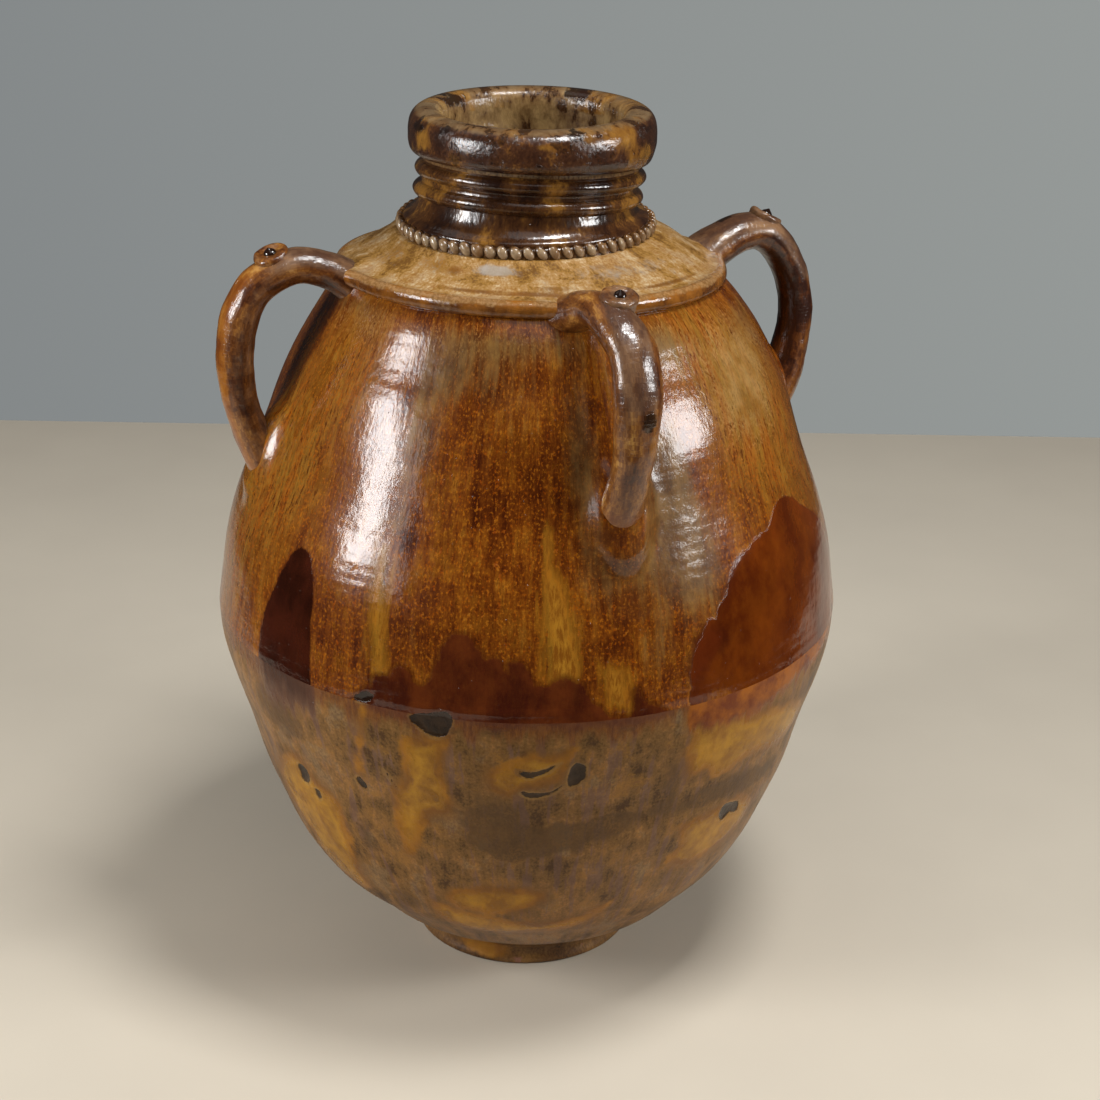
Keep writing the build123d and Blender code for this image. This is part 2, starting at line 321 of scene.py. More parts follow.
def end_tree(tree, shape, clay, result):
    """Sends real geometry, dressed in its clay, out of the tree."""
    real = put(tree, "GeometryNodeRealizeInstances", {"Geometry": shape})[0]
    dressed = put(tree, "GeometryNodeSetMaterial", {"Geometry": real, "Material": clay})[0]
    put(tree, "NodeGroupOutput", {result: dressed})
    return tree


def lay_grid(tree, grid, places, gap):
    """Moves a grid's points to their places and welds those that then lie together."""
    placed = put(tree, "GeometryNodeSetPosition", {"Geometry": grid, "Position": places})[0]
    return put(tree, "GeometryNodeMergeByDistance", {"Geometry": placed, "Distance": gap})[0]


def make_throwing_tree():
    """Geometry nodes that turn a half profile about the jar's axis in a number of steps."""
    tree, came = start_tree("throwing", {
        "Geometry": ["Profile"], "Int": ["Steps round", "Profile points"], "Float": ["Weld distance"],
        "Material": ["Clay"],
    }, "Section")
    columns = put(tree, "Math", {0: came["Steps round"], 1: 1.0}, operation="ADD")[0]
    rows = put(tree, "Math", {0: came["Profile points"], 1: 1.0}, operation="ADD")[0]
    grid = put(tree, "GeometryNodeMeshGrid", {"Vertices X": columns, "Vertices Y": rows})[0]
    index = put(tree, "GeometryNodeInputIndex")[0]
    passed = put(tree, "Math", {0: index, 1: rows}, operation="DIVIDE")[0]
    column = put(tree, "Math", {0: passed}, operation="FLOOR")[0]
    row = put(tree, "Math", {0: index, 1: rows}, operation="MODULO")[0]
    on_profile = put(tree, "Math", {0: row, 1: came["Profile points"]}, operation="MODULO")[0]
    spot = put(tree, "GeometryNodeInputPosition")[0]
    sample = put(
        tree, "GeometryNodeSampleIndex", {"Geometry": came["Profile"], "Value": spot, "Index": on_profile},
        data_type="FLOAT_VECTOR", domain="POINT",
    )[0]
    share = put(tree, "Math", {0: column, 1: came["Steps round"]}, operation="DIVIDE")[0]
    angle = put(tree, "Math", {0: share, 1: 2 * math.pi}, operation="MULTIPLY")[0]
    turned = put(tree, "VectorRotate", {"Vector": sample, "Angle": angle}, rotation_type="Z_AXIS")[0]
    return end_tree(tree, lay_grid(tree, grid, turned, came["Weld distance"]), came["Clay"], "Section")


def grow(name, tree, base_mesh, sizes):
    """Runs a geometry tree on a base mesh and keeps the result as a plain mesh object."""
    carrier = bpy.data.objects.new(name + "_base", base_mesh)
    bpy.context.collection.objects.link(carrier)
    modifier = carrier.modifiers.new("grow", "NODES")
    modifier.node_group = tree
    for item in tree.interface.items_tree:
        if item.in_out == "INPUT" and item.name in sizes:
            modifier[item.identifier] = sizes[item.name]
    graph = bpy.context.evaluated_depsgraph_get()
    grown = carrier.evaluated_get(graph)
    mesh = bpy.data.meshes.new_from_object(grown, preserve_all_data_layers=True, depsgraph=graph)
    bpy.data.objects.remove(carrier)
    mesh.name = name
    thing = bpy.data.objects.new(name, mesh)
    bpy.context.collection.objects.link(thing)
    return thing


def points_of(mesh):
    flat = np.empty(len(mesh.vertices) * 3)
    mesh.vertices.foreach_get("co", flat)
    return flat.reshape(-1, 3)


def set_points(mesh, points):
    mesh.vertices.foreach_set("co", points.astype(np.float32).ravel())
    mesh.update()


def write(mesh, name, values):
    """Stores a value, or a vector, for each point, to be read by trees and glazes."""
    kind, field = ("FLOAT_VECTOR", "vector") if values.ndim > 1 else ("FLOAT", "value")
    place = mesh.attributes.get(name) or mesh.attributes.new(name, kind, "POINT")
    place.data.foreach_set(field, values.astype(np.float32).ravel())


def face_outwards(mesh):
    """Turns all faces over if the closed shell encloses a negative volume."""
    mesh.calc_loop_triangles()
    corners = np.empty(len(mesh.loop_triangles) * 3, int)
    mesh.loop_triangles.foreach_get("vertices", corners)
    a, b, c = (points_of(mesh)[corners.reshape(-1, 3)[:, k]] for k in range(3))
    if np.einsum("ij,ij->i", a, np.cross(b, c)).sum() < 0:
        mesh.flip_normals()
    mesh.shade_smooth()
    mesh.set_sharp_from_angle(angle=SHARP_ANGLE)


def throw(node, tree, turns, profile, material):
    """One thrown section: its profile in the plane through the axis, turned all the way round."""
    base = bpy.data.meshes.new(node + "_profile")
    base.from_pydata([(r * MM, 0, z * MM) for r, z in profile], [], [])
    piece = grow(node + "_thrown", tree, base, {
        "Steps round": turns, "Profile points": len(profile), "Weld distance": WELD * MM, "Clay": material,
    })
    face_outwards(piece.data)
    return piece


# Handles

# Each handle: its turn from +X in degrees; the sideways lean of its upper root, its button and its
# lower root, in degrees round the jar; its button's middle (radius, height), the angle of the
# button's axis and its tilt to the side; and points of the coil's middle line (radius, height)
OVER = [(150, 621), (158, 627), (167, 632.5), (178, 638), (190, 641.6), (201, 642.3)]
HANDLES = {
    "right": (0, (-1, 0.5, 0), (213.5, 653.6, 62, 0), OVER + [
        (210, 640), (219, 634), (228.5, 624), (235.5, 613), (241, 600), (244.8, 586), (246.8, 573),
        (247, 560), (245.8, 547), (243, 532), (238, 516), (231, 502), (222, 488), (212, 474)]),
    "back": (90, (2, 0, -1.5), (211.5, 655, 80, 5), OVER + [
        (212, 641), (223, 636), (234, 627), (243, 615), (249, 601), (252, 587), (252.5, 572),
        (251.5, 556), (248.5, 540), (244, 524), (237.5, 509), (229, 495), (218, 482), (208, 472)]),
    "left": (180, (1.5, -0.5, 0), (220, 651.2, 71, -9), OVER + [
        (211, 639.8), (221, 635), (232, 627.5), (242, 614.5), (248.8, 598), (252.2, 580), (253, 562),
        (251.8, 543), (248.5, 524), (242.5, 504), (234.5, 484), (225.5, 466), (216, 450)]),
    "front": (-90, (-5.5, 0.8, -0.6), (205, 656.9, 75, 0), [
        (150, 627), (158, 632.5), (167, 637), (178, 641), (190, 643.4), (201, 643),
        (212, 640), (223, 634.5), (234, 625.5), (243, 613.5), (249, 600), (252, 586), (252.5, 571),
        (251.3, 555), (248, 538), (243, 521), (236, 504), (227, 488), (216, 473), (206, 461)]),
}

COIL_WIDTH, COIL_THICKNESS, COIL_STEP = 36.0, 30.0, 3.0
STEPS_ALONG, STEPS_ROUND = 220, 64
CLOSING = 0.01  # how far past its ends the coil closes, as a share of a step
BUTTON_SHARE = 0.35  # where the button sits, as a share of the coil's length
UPPER_SWELL, LOWER_SWELL = (0.24, 0.2), (0.3, 0.33)  # growth at a root, and the share it reaches along
SQUEEZE, SQUEEZE_WAVES = 0.05, 9  # how unevenly the coil was pulled


def handle_line(side):
    """Centre line of one handle in its own radial plane: (radius, height) in mm, root to root."""
    return spline(HANDLES[side][3], COIL_STEP)


def make_coil_tree():
    """Geometry nodes that wrap an oval coil round a line, swollen by the line's own swell."""
    tree, came = start_tree("pulled_coil", {
        "Geometry": ["Line"], "Int": ["Steps along", "Steps round"],
        "Float": ["Width", "Thickness", "Weld distance"], "Material": ["Clay"],
    }, "Coil")
    line = put(tree, "GeometryNodeMeshToCurve", {"Mesh": came["Line"]})[0]
    columns = put(tree, "Math", {0: came["Steps round"], 1: 1.0}, operation="ADD")[0]
    grid = put(tree, "GeometryNodeMeshGrid", {
        "Size X": 1.0, "Size Y": 1.0, "Vertices X": came["Steps along"], "Vertices Y": columns,
    })[0]
    place = put(tree, "SeparateXYZ", {0: put(tree, "GeometryNodeInputPosition")[0]})
    share = put(tree, "Math", {0: place[0], 1: 0.5}, operation="ADD", use_clamp=True)[0]
    swell = put(tree, "GeometryNodeInputNamedAttribute", {"Name": "swell"}, data_type="FLOAT")[0]
    sample = put(
        tree, "GeometryNodeSampleCurve", {"Curves": line, "Value": swell, "Factor": share},
        mode="FACTOR", data_type="FLOAT", use_all_curves=True,
    )
    value, way, across = sample[0], sample["Tangent"], sample["Normal"]
    outwards = put(tree, "VectorMath", {0: way, 1: across}, operation="CROSS_PRODUCT")[0]
    angle = put(tree, "Math", {0: place[1], 1: 2 * math.pi}, operation="MULTIPLY")[0]
    flare = put(tree, "Math", {0: value, 1: 2.0}, operation="POWER")[0]
    arms = []
    for function, size, grown, direction in (
        ("SINE", "Width", flare, across), ("COSINE", "Thickness", value, outwards),
    ):
        wave = put(tree, "Math", {0: angle}, operation=function)[0]
        half = put(tree, "Math", {0: came[size], 1: 0.5}, operation="MULTIPLY")[0]
        reach = put(tree, "Math", {0: wave, 1: half}, operation="MULTIPLY")[0]
        swollen = put(tree, "Math", {0: reach, 1: grown}, operation="MULTIPLY")[0]
        arms.append(put(tree, "VectorMath", {0: direction, "Scale": swollen}, operation="SCALE")[0])
    arm = put(tree, "VectorMath", {0: arms[0], 1: arms[1]}, operation="ADD")[0]
    at = put(tree, "VectorMath", {0: sample["Position"], 1: arm}, operation="ADD")[0]
    return end_tree(tree, lay_grid(tree, grid, at, came["Weld distance"]), came["Clay"], "Coil")


def handle_points(side):
    """Centre line of a handle in space, with its hand-made lean, and how far it is swollen."""
    turn, lean, _, _ = HANDLES[side]
    flat = handle_line(side)
    steps = lengths_of(flat)
    share = steps / steps[-1]
    angle = math.radians(turn) + np.radians(np.interp(share, (0, BUTTON_SHARE, 1), lean))
    points = np.stack([flat[:, 0] * np.cos(angle), flat[:, 0] * np.sin(angle), flat[:, 1]], axis=1) * MM
    swell = np.ones(len(share))
    for way, (growth, reach) in zip((share, 1 - share), (UPPER_SWELL, LOWER_SWELL)):
        swell += growth * np.clip(1 - way / reach, 0, None) ** 2
    return points, swell * (1 + SQUEEZE * np.sin(share * SQUEEZE_WAVES + turn))


def make_handle(side, tree, material):
    """One coil, closed to a point just past each end of its line."""
    points, swell = handle_points(side)
    ends = [points[k] + (points[k] - points[n]) * CLOSING for k, n in ((0, 1), (-1, -2))]
    points = np.vstack([ends[0], points, ends[1]])
    base = bpy.data.meshes.new(f"handle_{side}_line")
    base.from_pydata([tuple(p) for p in points], [(i, i + 1) for i in range(len(points) - 1)], [])
    write(base, "swell", np.concatenate([[0], swell, [0]]))
    piece = grow(f"handle_{side}_coil", tree, base, {
        "Steps along": STEPS_ALONG, "Steps round": STEPS_ROUND, "Weld distance": WELD * MM,
        "Width": COIL_WIDTH * MM, "Thickness": COIL_THICKNESS * MM, "Clay": material,
    })
    face_outwards(piece.data)
    return piece


# Pulled out of true by hand

def ramp(value, low, high):
    """0 below low, 1 above high and a smooth rise between."""
    share = np.clip((value - low) / (high - low), 0, 1)
    return share * share * (3 - 2 * share)


def between(value, zone):
    """Rises from nought to one and falls again, over a zone of (rise from, to, fall from, to)."""
    return ramp(value, zone[0], zone[1]) * (1 - ramp(value, zone[2], zone[3]))


def bump_at(value, middle, half):
    """One in the middle of a soft bump and nearly nought two halves away."""
    return np.exp(-(((value - middle) / half) ** 2))


def rough_noise(points, size):
    """Soft noise from -1 to 1 at points in millimetres, with swellings about a size apart."""
    return np.array([noise.noise(Vector(p)) for p in points / size])


def dents(points, depth, shift, size):
    """Soft noise of a depth along each axis at points in metres; the shift keeps the three apart."""
    return depth * np.stack([rough_noise(points / MM + k * shift, size) for k in range(3)], axis=1)


def as_seen(points):
    """Points of the part in millimetres, turned so that -Y faces the camera's side."""
    c, s = math.cos(VIEW_TURN), math.sin(VIEW_TURN)
    x, y, z = points.T / MM
    return np.stack([x * c - y * s, x * s + y * c, z], axis=1)


def as_built(points):
    """The way back from as_seen."""
    c, s = math.cos(VIEW_TURN), math.sin(VIEW_TURN)
    x, y, z = points.T
    return np.stack([x * c + y * s, -x * s + y * c, z], axis=1) * MM


# The jar's outer skin from foot to shelf, as (radius, height)
SKIN_STEP = 3.0
SKIN = np.vstack([
    spline(BOWL, SKIN_STEP), spline(DOME, SKIN_STEP)[1:], [(164.5, 629), (153.4, 636.6), (110, 660.5)],
])
SKIN_LENGTH = lengths_of(SKIN)

# Where each coil was pressed on, as (angle seen from the camera's side, height, half width, half
# height, lift): first for each handle its angle, the lean of its two roots, its lower end and its lift
ROOTS = []
for seen_angle, lean, low, lift in (
    (19.0, (-5.5, -0.6), 492.0, 13.0), (109.0, (-1.0, 0.0), 508.0, 10.0),
    (199.0, (2.0, -1.5), 500.0, 10.0), (-71.0, (1.5, 0.0), 488.0, 10.0),
):
    ROOTS += [(seen_angle + lean[0], 632.0, 24.0, 17.0, 5.0), (seen_angle + lean[1], low, 25.0, 40.0, lift)]
ROOT_CORE, ROOT_FALL = 0.6, 0.42  # the raised clay's flat core and soft edge, as shares of its half size
ROOT_LEAST_RADIUS = 142.0  # nothing nearer the axis is raised

# Lumps of the wall: (height, shift, size) of each, full from EVEN_RADIUS outwards
LUMPS = ((0.9, 0.0, 75.0), (0.38, 300.0, 32.0), (0.12, 700.0, 13.0))
EVEN_RADIUS, LEAST_LUMPS = 200.0, 0.35
AXIS_ZONE = (40, 90)  # radii over which a push sets in
BODY_SHRINK, BODY_ZONE = 0.8, (640.0, 720.0)  # room for the lumps, below the neck
# The thrower's finger rings, which start above the foot
RING_HEIGHT, RING_SPACING, RING_DRIFT, RING_ZONE = 0.035, 8.5, 110.0, (30, 60)
# A groove wiped across the front of the dome, and the raised edge over the belly seam. Each sways
# up and down by some mm, in so many waves round the jar
GROOVE_DEPTH, GROOVE_HEIGHT, GROOVE_HALF, GROOVE_ZONE = 0.224, 467.0, 2.0, (-0.95, -0.6, 0.15, 0.5)
LEDGE_RISE, LEDGE_HEIGHT, LEDGE_HALF, LEDGE_LEAST = 0.7, 342.0, 2.2, 0.15
LEDGE_ANGLE, LEDGE_SPREAD = -0.1, 0.3
GROOVE_SWAY, GROOVE_WAVES, LEDGE_SWAY, LEDGE_WAVES, LEDGE_PHASE = 2, 3, 1.5, 2, 1
# Zones of height that tip, with their rise for each mm to the right and to the back
TIPS = (((575, 620, 640, 660), -0.011, -0.046), ((672, 684, 716, 738), -0.035, -0.08))
# Zones of height that stand aside, with their shift to the right
SHIFTS = (((440, 540, 600, 632), 2.5), ((24, 45, 60, 95), 3.0), ((650, 661, 672, 724), -4.4))
# The lip's coil was never quite even: waves of its radius, in per cent, as (size, number, phase)
LIP_ZONE, LIP_GROWTH, LIP_WAVES = (720, 735), 2.4, ((0.9, 2, 0.6), (0.7, 3, 2.0))
WIDEST, TOP = 272.4, 760.0


def pull_out_of_true(points):
    """Moves points of the thrown pieces as the thrower's hands and the fire left them."""
    at = as_seen(points)
    x, y, z = at.T
    radius, angle = np.hypot(x, y), np.arctan2(x, -y)
    push = sum(size * rough_noise(at + shift, apart) for size, shift, apart in LUMPS)
    push = push * np.clip(radius / EVEN_RADIUS, LEAST_LUMPS, 1.0) - BODY_SHRINK * (1 - ramp(z, *BODY_ZONE))
    rings = np.sin(2 * math.pi * z / RING_SPACING + 2 * rough_noise(at, RING_DRIFT))
    push += RING_HEIGHT * rings * ramp(z, *RING_ZONE)
    groove = bump_at(z - GROOVE_SWAY * np.sin(angle * GROOVE_WAVES), GROOVE_HEIGHT, GROOVE_HALF)
    groove *= between(angle, GROOVE_ZONE)
    ledge = bump_at(z - LEDGE_SWAY * np.sin(angle * LEDGE_WAVES + LEDGE_PHASE), LEDGE_HEIGHT, LEDGE_HALF)
    ledge *= LEDGE_LEAST + (1 - LEDGE_LEAST) * bump_at(angle, LEDGE_ANGLE, LEDGE_SPREAD)
    push += LEDGE_RISE * ledge - GROOVE_DEPTH * groove
    for root_angle, height, half_width, half_height, lift in ROOTS:
        turn = np.angle(np.exp(1j * (angle - math.radians(root_angle))))
        away = np.hypot(turn * radius / half_width, (z - height) / half_height)
        raised = bump_at(np.clip(away - ROOT_CORE, 0, None), 0, ROOT_FALL)
        push += lift * raised * (radius > ROOT_LEAST_RADIUS)
    stretch = 1 + push * ramp(radius, *AXIS_ZONE) / np.maximum(radius, TINY)
    x, y = x * stretch, y * stretch
    for zone, by_x, by_y in TIPS:
        z = z + between(at[:, 2], zone) * (by_x * x + by_y * y)
    for zone, shift in SHIFTS:
        x = x + shift * between(z, zone)
    wave = LIP_GROWTH + sum(size * np.sin(number * angle + phase) for size, number, phase in LIP_WAVES)
    grown = 1 + ramp(z, *LIP_ZONE) * wave / 100
    x, y = x * grown, y * grown
    limit = np.minimum(1.0, WIDEST / np.maximum(np.hypot(x, y), TINY))
    return as_built(np.stack([x * limit, y * limit, np.clip(z, 0.0, TOP)], axis=1))


# Where the glaze lies

# Outlines of the runs and patches, as (angle seen from the camera's side in degrees, height in mm)
RUNS = [
    # the long drop on the left
    [(-46, 440), (-43.6, 438), (-41.8, 429), (-40.4, 412), (-40, 394), (-39.9, 378), (-39.5, 363),
     (-39.3, 347), (-38.9, 334), (-39.5, 318), (-45, 308), (-51.5, 306), (-53.1, 316), (-53.5, 326),
     (-53.5, 340), (-53.6, 353), (-53.3, 367), (-52.6, 382), (-51.4, 396), (-50.1, 410), (-49.2, 421),
     (-48, 433)],
]
HUMPS = [
    # the humps that stand on the belly seam
    [(-29, 341), (-26.3, 352), (-26.3, 359), (-24.8, 362), (-23, 362), (-22.6, 369), (-21.4, 372), (-20, 372),
     (-19, 368), (-18.5, 362), (-16.8, 360), (-15.8, 367), (-14.9, 376), (-14, 389), (-13.1, 398), (-12, 404),
     (-10.9, 405), (-9.5, 404), (-8.5, 401), (-8, 396), (-6.8, 392), (-6.1, 387), (-4.5, 389), (-3.2, 379),
     (-2.3, 376), (-1.9, 384), (0.2, 384), (1, 376), (2.4, 367), (3.9, 365), (5.3, 369), (7.1, 372),
     (8.6, 370), (10, 366), (10.8, 360), (11.8, 353), (13.3, 345), (14.4, 339), (16.6, 337), (18.1, 338),
     (18.9, 344), (18.8, 356), (19.8, 359), (20.1, 352), (21.2, 346), (24, 340), (24, 333), (10, 332),
     (0, 333), (-10, 335), (-18, 331), (-25, 333)],
]
SHEET = [
    # the smooth red-brown sheet on the right, its torn edge first
    [(62, 467), (60, 467), (56.6, 464), (54.1, 455), (52, 451), (48.8, 450), (46.3, 445), (43, 442),
     (41.7, 436), (40.3, 430), (39.2, 421), (38.1, 415), (36.3, 407), (35.7, 401), (34, 403), (33.1, 395),
     (32.1, 389), (30.9, 382), (30.1, 374), (29.6, 362), (29.5, 351), (29.3, 335), (31, 318), (38, 310),
     (48, 312), (55, 319), (64, 321), (70.5, 324), (76, 339), (80, 355), (82, 382), (81, 401), (78, 422),
     (74, 437), (69, 449), (66, 460)],
]
OCHRE = [
    [(-52.3, 246), (-47.7, 250), (-45.6, 236), (-42.3, 228), (-39.1, 219), (-37.8, 201), (-37.5, 180),
     (-38.4, 160), (-40.4, 133), (-40.1, 107), (-48, 100), (-54.5, 112), (-57.3, 125), (-57.1, 153),
     (-61.5, 160), (-61.4, 177), (-62.1, 197), (-60.5, 217)],
    [(-29, 334), (-26.7, 337), (-27.7, 307), (-29.1, 275), (-30.1, 260), (-32, 257), (-32.4, 272),
     (-30.9, 293), (-29.4, 310)],
    [(-20.9, 312), (-12, 319), (-13.3, 293), (-12.4, 270), (-12.7, 238), (-17, 230), (-19, 211), (-21.5, 186),
     (-24.3, 183), (-25.4, 216), (-25, 246), (-22.5, 270), (-21.6, 291)],
    [(-6, 292), (-2.1, 299), (1.1, 313), (3.6, 311), (6.2, 309), (9.3, 313), (8.8, 300), (7.7, 280),
     (4.8, 273), (-0.2, 266), (-2.2, 260), (-6.2, 271)],
    [(29.7, 328), (42.8, 312), (55.1, 300), (65, 282), (66.6, 250), (57.6, 247), (47.4, 258), (41.9, 248),
     (37.4, 250), (35.2, 262), (31.9, 258), (29.2, 287), (29.9, 305)],
    [(32.7, 207), (41.2, 212), (49.4, 214), (56.2, 197), (57.5, 173), (52.3, 157), (44.8, 147), (35.5, 152),
     (32.2, 167), (34.4, 182)],
    [(-16, 150), (2, 158), (6, 140), (-4, 118), (-16, 122)],
    [(-22, 128), (-12, 120), (4, 108), (16, 118), (24, 140), (16, 96), (-4, 82), (-20, 92)],
]
GOLD = [
    [(-29, 458), (-25.6, 458), (-23.2, 366), (-26.4, 362)],
    [(3.3, 455), (5.6, 458), (8.2, 428), (9.8, 396), (10.2, 371), (4, 369)],
    [(13.2, 378), (17.4, 376), (18.2, 345), (14.6, 347)],
    [(3, 482), (5, 482), (5.2, 458), (3.2, 458)],
    [(31.9, 343), (35.2, 347), (42.2, 331), (42.4, 316), (38, 310), (31.6, 322)],
]
BLOTS = [
    # the hollow under the humps, the eyebrow marks, pits and slits of thick black glaze
    [(-19.2, 333), (-17.2, 323), (-15.3, 317), (-12.5, 320), (-11.4, 334), (-12.4, 342), (-15.6, 339)],
    [(-0.9, 291), (0, 284), (1.8, 282.5), (4, 287), (6.7, 298), (4.4, 293), (1.8, 289)],
    [(9.5, 298), (11.2, 293), (11.1, 279), (8.5, 272), (8, 284), (8.9, 296)],
    [(0, 269), (3.4, 266), (6, 270), (7.4, 275), (6.4, 268), (3.2, 261), (0.4, 263)],
    [(44.5, 197), (44.2, 209), (46.6, 209), (49.9, 204), (51.3, 191), (47.9, 195), (46.3, 190)],
    [(-49.6, 236), (-47.4, 238), (-46.4, 230), (-47.7, 219), (-49.4, 219), (-49.9, 227)],
    [(-45.8, 217), (-44.5, 219), (-44, 212), (-45.3, 208)],
    [(-32.2, 254), (-31.2, 257), (-30, 247), (-31, 244), (-32.1, 249)],
    [(-25.4, 272), (-24.9, 272), (-22.9, 256), (-23.5, 256)],
    [(-29.6, 339), (-27.4, 346), (-25.6, 345), (-26.2, 339), (-28.2, 336)],
]
# Softer fields: (angle, height, half width in degrees, half height, strength)
SHADES = {
    # thin grey-brown veil over the amber: partly where the glaze went dull, partly a painted sheen (a broad
    # soft reflection of the lamps), and painted shade beside and under the front handle's lower root
    "veil_sheen_and_shade": (
        # (32, 455) and (28, 520) are mostly a painted sheen right of the front handle; (11, 530) is painted
        # shade beside it, and (18, 446) on the next line is painted shade under its lower root
        (32, 455, 7, 52, 1), (28, 520, 7, 50, 0.9), (-13, 594, 16, 22, 0.36), (11, 530, 3.5, 70, 0.75),
        (18, 446, 7, 30, 0.6), (-6, 556, 16, 44, 0.24), (-24, 588, 14, 20, 0.22), (-25, 540, 6, 60, 0.6),
        (34, 600, 12, 18, 0.6), (24, 385, 4, 30, 0.5), (-28, 478, 6, 10, 0.4), (-19, 395, 3, 22, 0.35),
        (0, 606, 16, 10, 0.4), (-60, 612, 30, 8, 0.5), (80, 600, 22, 14, 0.5), (-12, 654, 7, 4, 1.4),
        (35, 650, 36, 9, 0.5), (-60, 646, 12, 5, 0.35),
    ),
    # pale tan bloom high on the dome, partly a painted sheen of the lamps
    "tan_bloom_and_sheen": (
        (58, 560, 13, 42, 1), (36, 600, 12, 14, 0.7), (-14, 604, 26, 10, 0.45), (-52, 604, 14, 16, 0.4),
        (76, 585, 14, 24, 0.5), (150, 585, 26, 30, 0.6), (-140, 590, 24, 26, 0.5),
    ),
    # where the amber is lighter (above nought) or deeper
    "tone": (
        (-60, 500, 14, 85, 1), (-44, 575, 10, 40, 0.6), (-74, 400, 12, 70, 0.7), (56, 545, 14, 70, 1.2),
        (76, 480, 14, 80, 0.9), (45, 595, 12, 28, 0.8), (-1, 515, 7, 42, -0.8), (-5, 450, 6, 40, -0.3),
        (-12, 500, 5, 60, -0.5), (6, 540, 4, 40, -0.5), (-34, 400, 8, 30, -0.5), (-9, 582, 3, 9, -0.5),
        (18, 355, 6, 14, -0.2), (150, 480, 30, 90, 0.6), (-130, 470, 24, 80, 0.6), (180, 560, 20, 60, -0.6),
        (-28, 395, 3, 40, 0.6), (8, 400, 3, 34, 0.7), (-62, 742, 9, 12, 0.9), (-30, 652, 12, 7, 0.6),
        (-58, 650, 12, 8, 0.5), (6, 750, 7, 4, 0.7), (36, 752, 14, 6, 0.9), (60, 735, 12, 18, 1.1),
        (-66, 694, 14, 22, 1), (66, 700, 12, 20, 0.5), (-21, 13, 12, 10, 1.6),
        (140, 745, 25, 12, 0.8), (-150, 745, 20, 10, 0.8),
    ),
    # deeper brown clouds in the thin glaze of the bowl, and dark stains higher up, with painted shade under
    # the front handle's lower root and in the crease above the shoulder's ridge
    "cloud": (
        (-5, 232, 9, 32, 0.8), (2, 207, 12, 12, 0.9), (12, 222, 9, 12, 0.85), (20, 232, 5, 8, 0.7),
        (42, 232, 10, 12, 1), (55, 222, 8, 12, 0.7), (-50, 290, 7, 26, 0.9), (-33, 190, 3, 30, 0.5),
        (28, 262, 3.5, 40, 0.6), (0, 326, 30, 7, 0.4), (-28, 120, 8, 20, 0.5), (24, 118, 5, 10, 0.5),
        # (20, 425) at the end of this line and (15, 480) on the next: painted shade under the front handle's
        # lower root
        (160, 230, 20, 30, 0.6), (-120, 210, 22, 40, 0.6), (110, 180, 14, 40, 0.5), (20, 425, 7, 26, 0.55),
        (15, 480, 5, 16, 0.6), (-66, 752, 6, 6, 1), (-43, 756, 5, 5, 0.9), (20, 757, 5, 4, 0.8),
        (64, 752, 7, 7, 0.8), (152, 758, 9, 5, 1.2), (-120, 756, 12, 6, 0.9), (0, 742, 26, 18, 0.3),
        # (-8, 638.5) at the end of this line and (50, 638.5) on the next: painted shade in the crease above
        # the shoulder's ridge
        (-27, 651, 5, 5, 0.6), (30, 655, 8, 3, 0.5), (8, 642, 10, 2.5, 0.5), (-8, 638.5, 26, 1.6, 0.7),
        (50, 638.5, 22, 1.6, 0.6), (35, 385, 5, 20, 0.9), (31, 360, 3, 24, 0.7),
    ),
}


def depth_inside(across, up, corners):
    """How far points lie inside a rounded outline, in mm; less than nought outside it."""
    nearest = np.full(len(across), np.inf)
    inside = np.zeros(len(across), bool)
    for (x0, y0), (x1, y1) in zip(corners, corners[1:] + corners[:1]):
        bx, by, px, py = x1 - x0, y1 - y0, across - x0, up - y0
        share = np.clip((px * bx + py * by) / np.maximum(bx * bx + by * by, TINY), 0, 1)
        nearest = np.minimum(nearest, np.hypot(px - share * bx, py - share * by))
        crosses = (y0 > up) != (y1 > up)
        inside ^= crosses & (px < bx * py / np.where(np.abs(by) < TINY, TINY, by))
    return np.where(inside, nearest, -nearest)


def rounded(corners):
    """The same outline with each side bent through three points, so that no corner is sharp."""
    out = []
    count = len(corners)
    for i in range(count):
        p0, p1, p2, p3 = (np.array(corners[(i + k) % count], float) for k in (-1, 0, 1, 2))
        for t in (0.0, 0.5):
            out.append(tuple(
                0.5 * (2 * p1 + (p2 - p0) * t + (2 * p0 - 5 * p1 + 4 * p2 - p3) * t * t
                       + (3 * p1 - p0 - 3 * p2 + p3) * t ** 3)
            ))
    return out


OUTLINES = {"runs": RUNS, "humps": HUMPS, "sheet": SHEET, "ochre": OCHRE, "gold": GOLD, "blots": BLOTS}
FAR = -60.0  # the depth written where no outline is near
NEAR_ANGLE, NEAR_HEIGHT = 14.0, 45.0  # no depth is worked out further than this from an outline
CHUNK = 20000  # points worked out at a time
LEAST_EVEN_RADIUS = 60.0  # keeps the grain of a small piece from closing up
THROAT_RADIUS, RIM_HEIGHT, TAIL_HEIGHT, TAIL_SLOPE = 78.0, 322.0, 310.0, 0.8


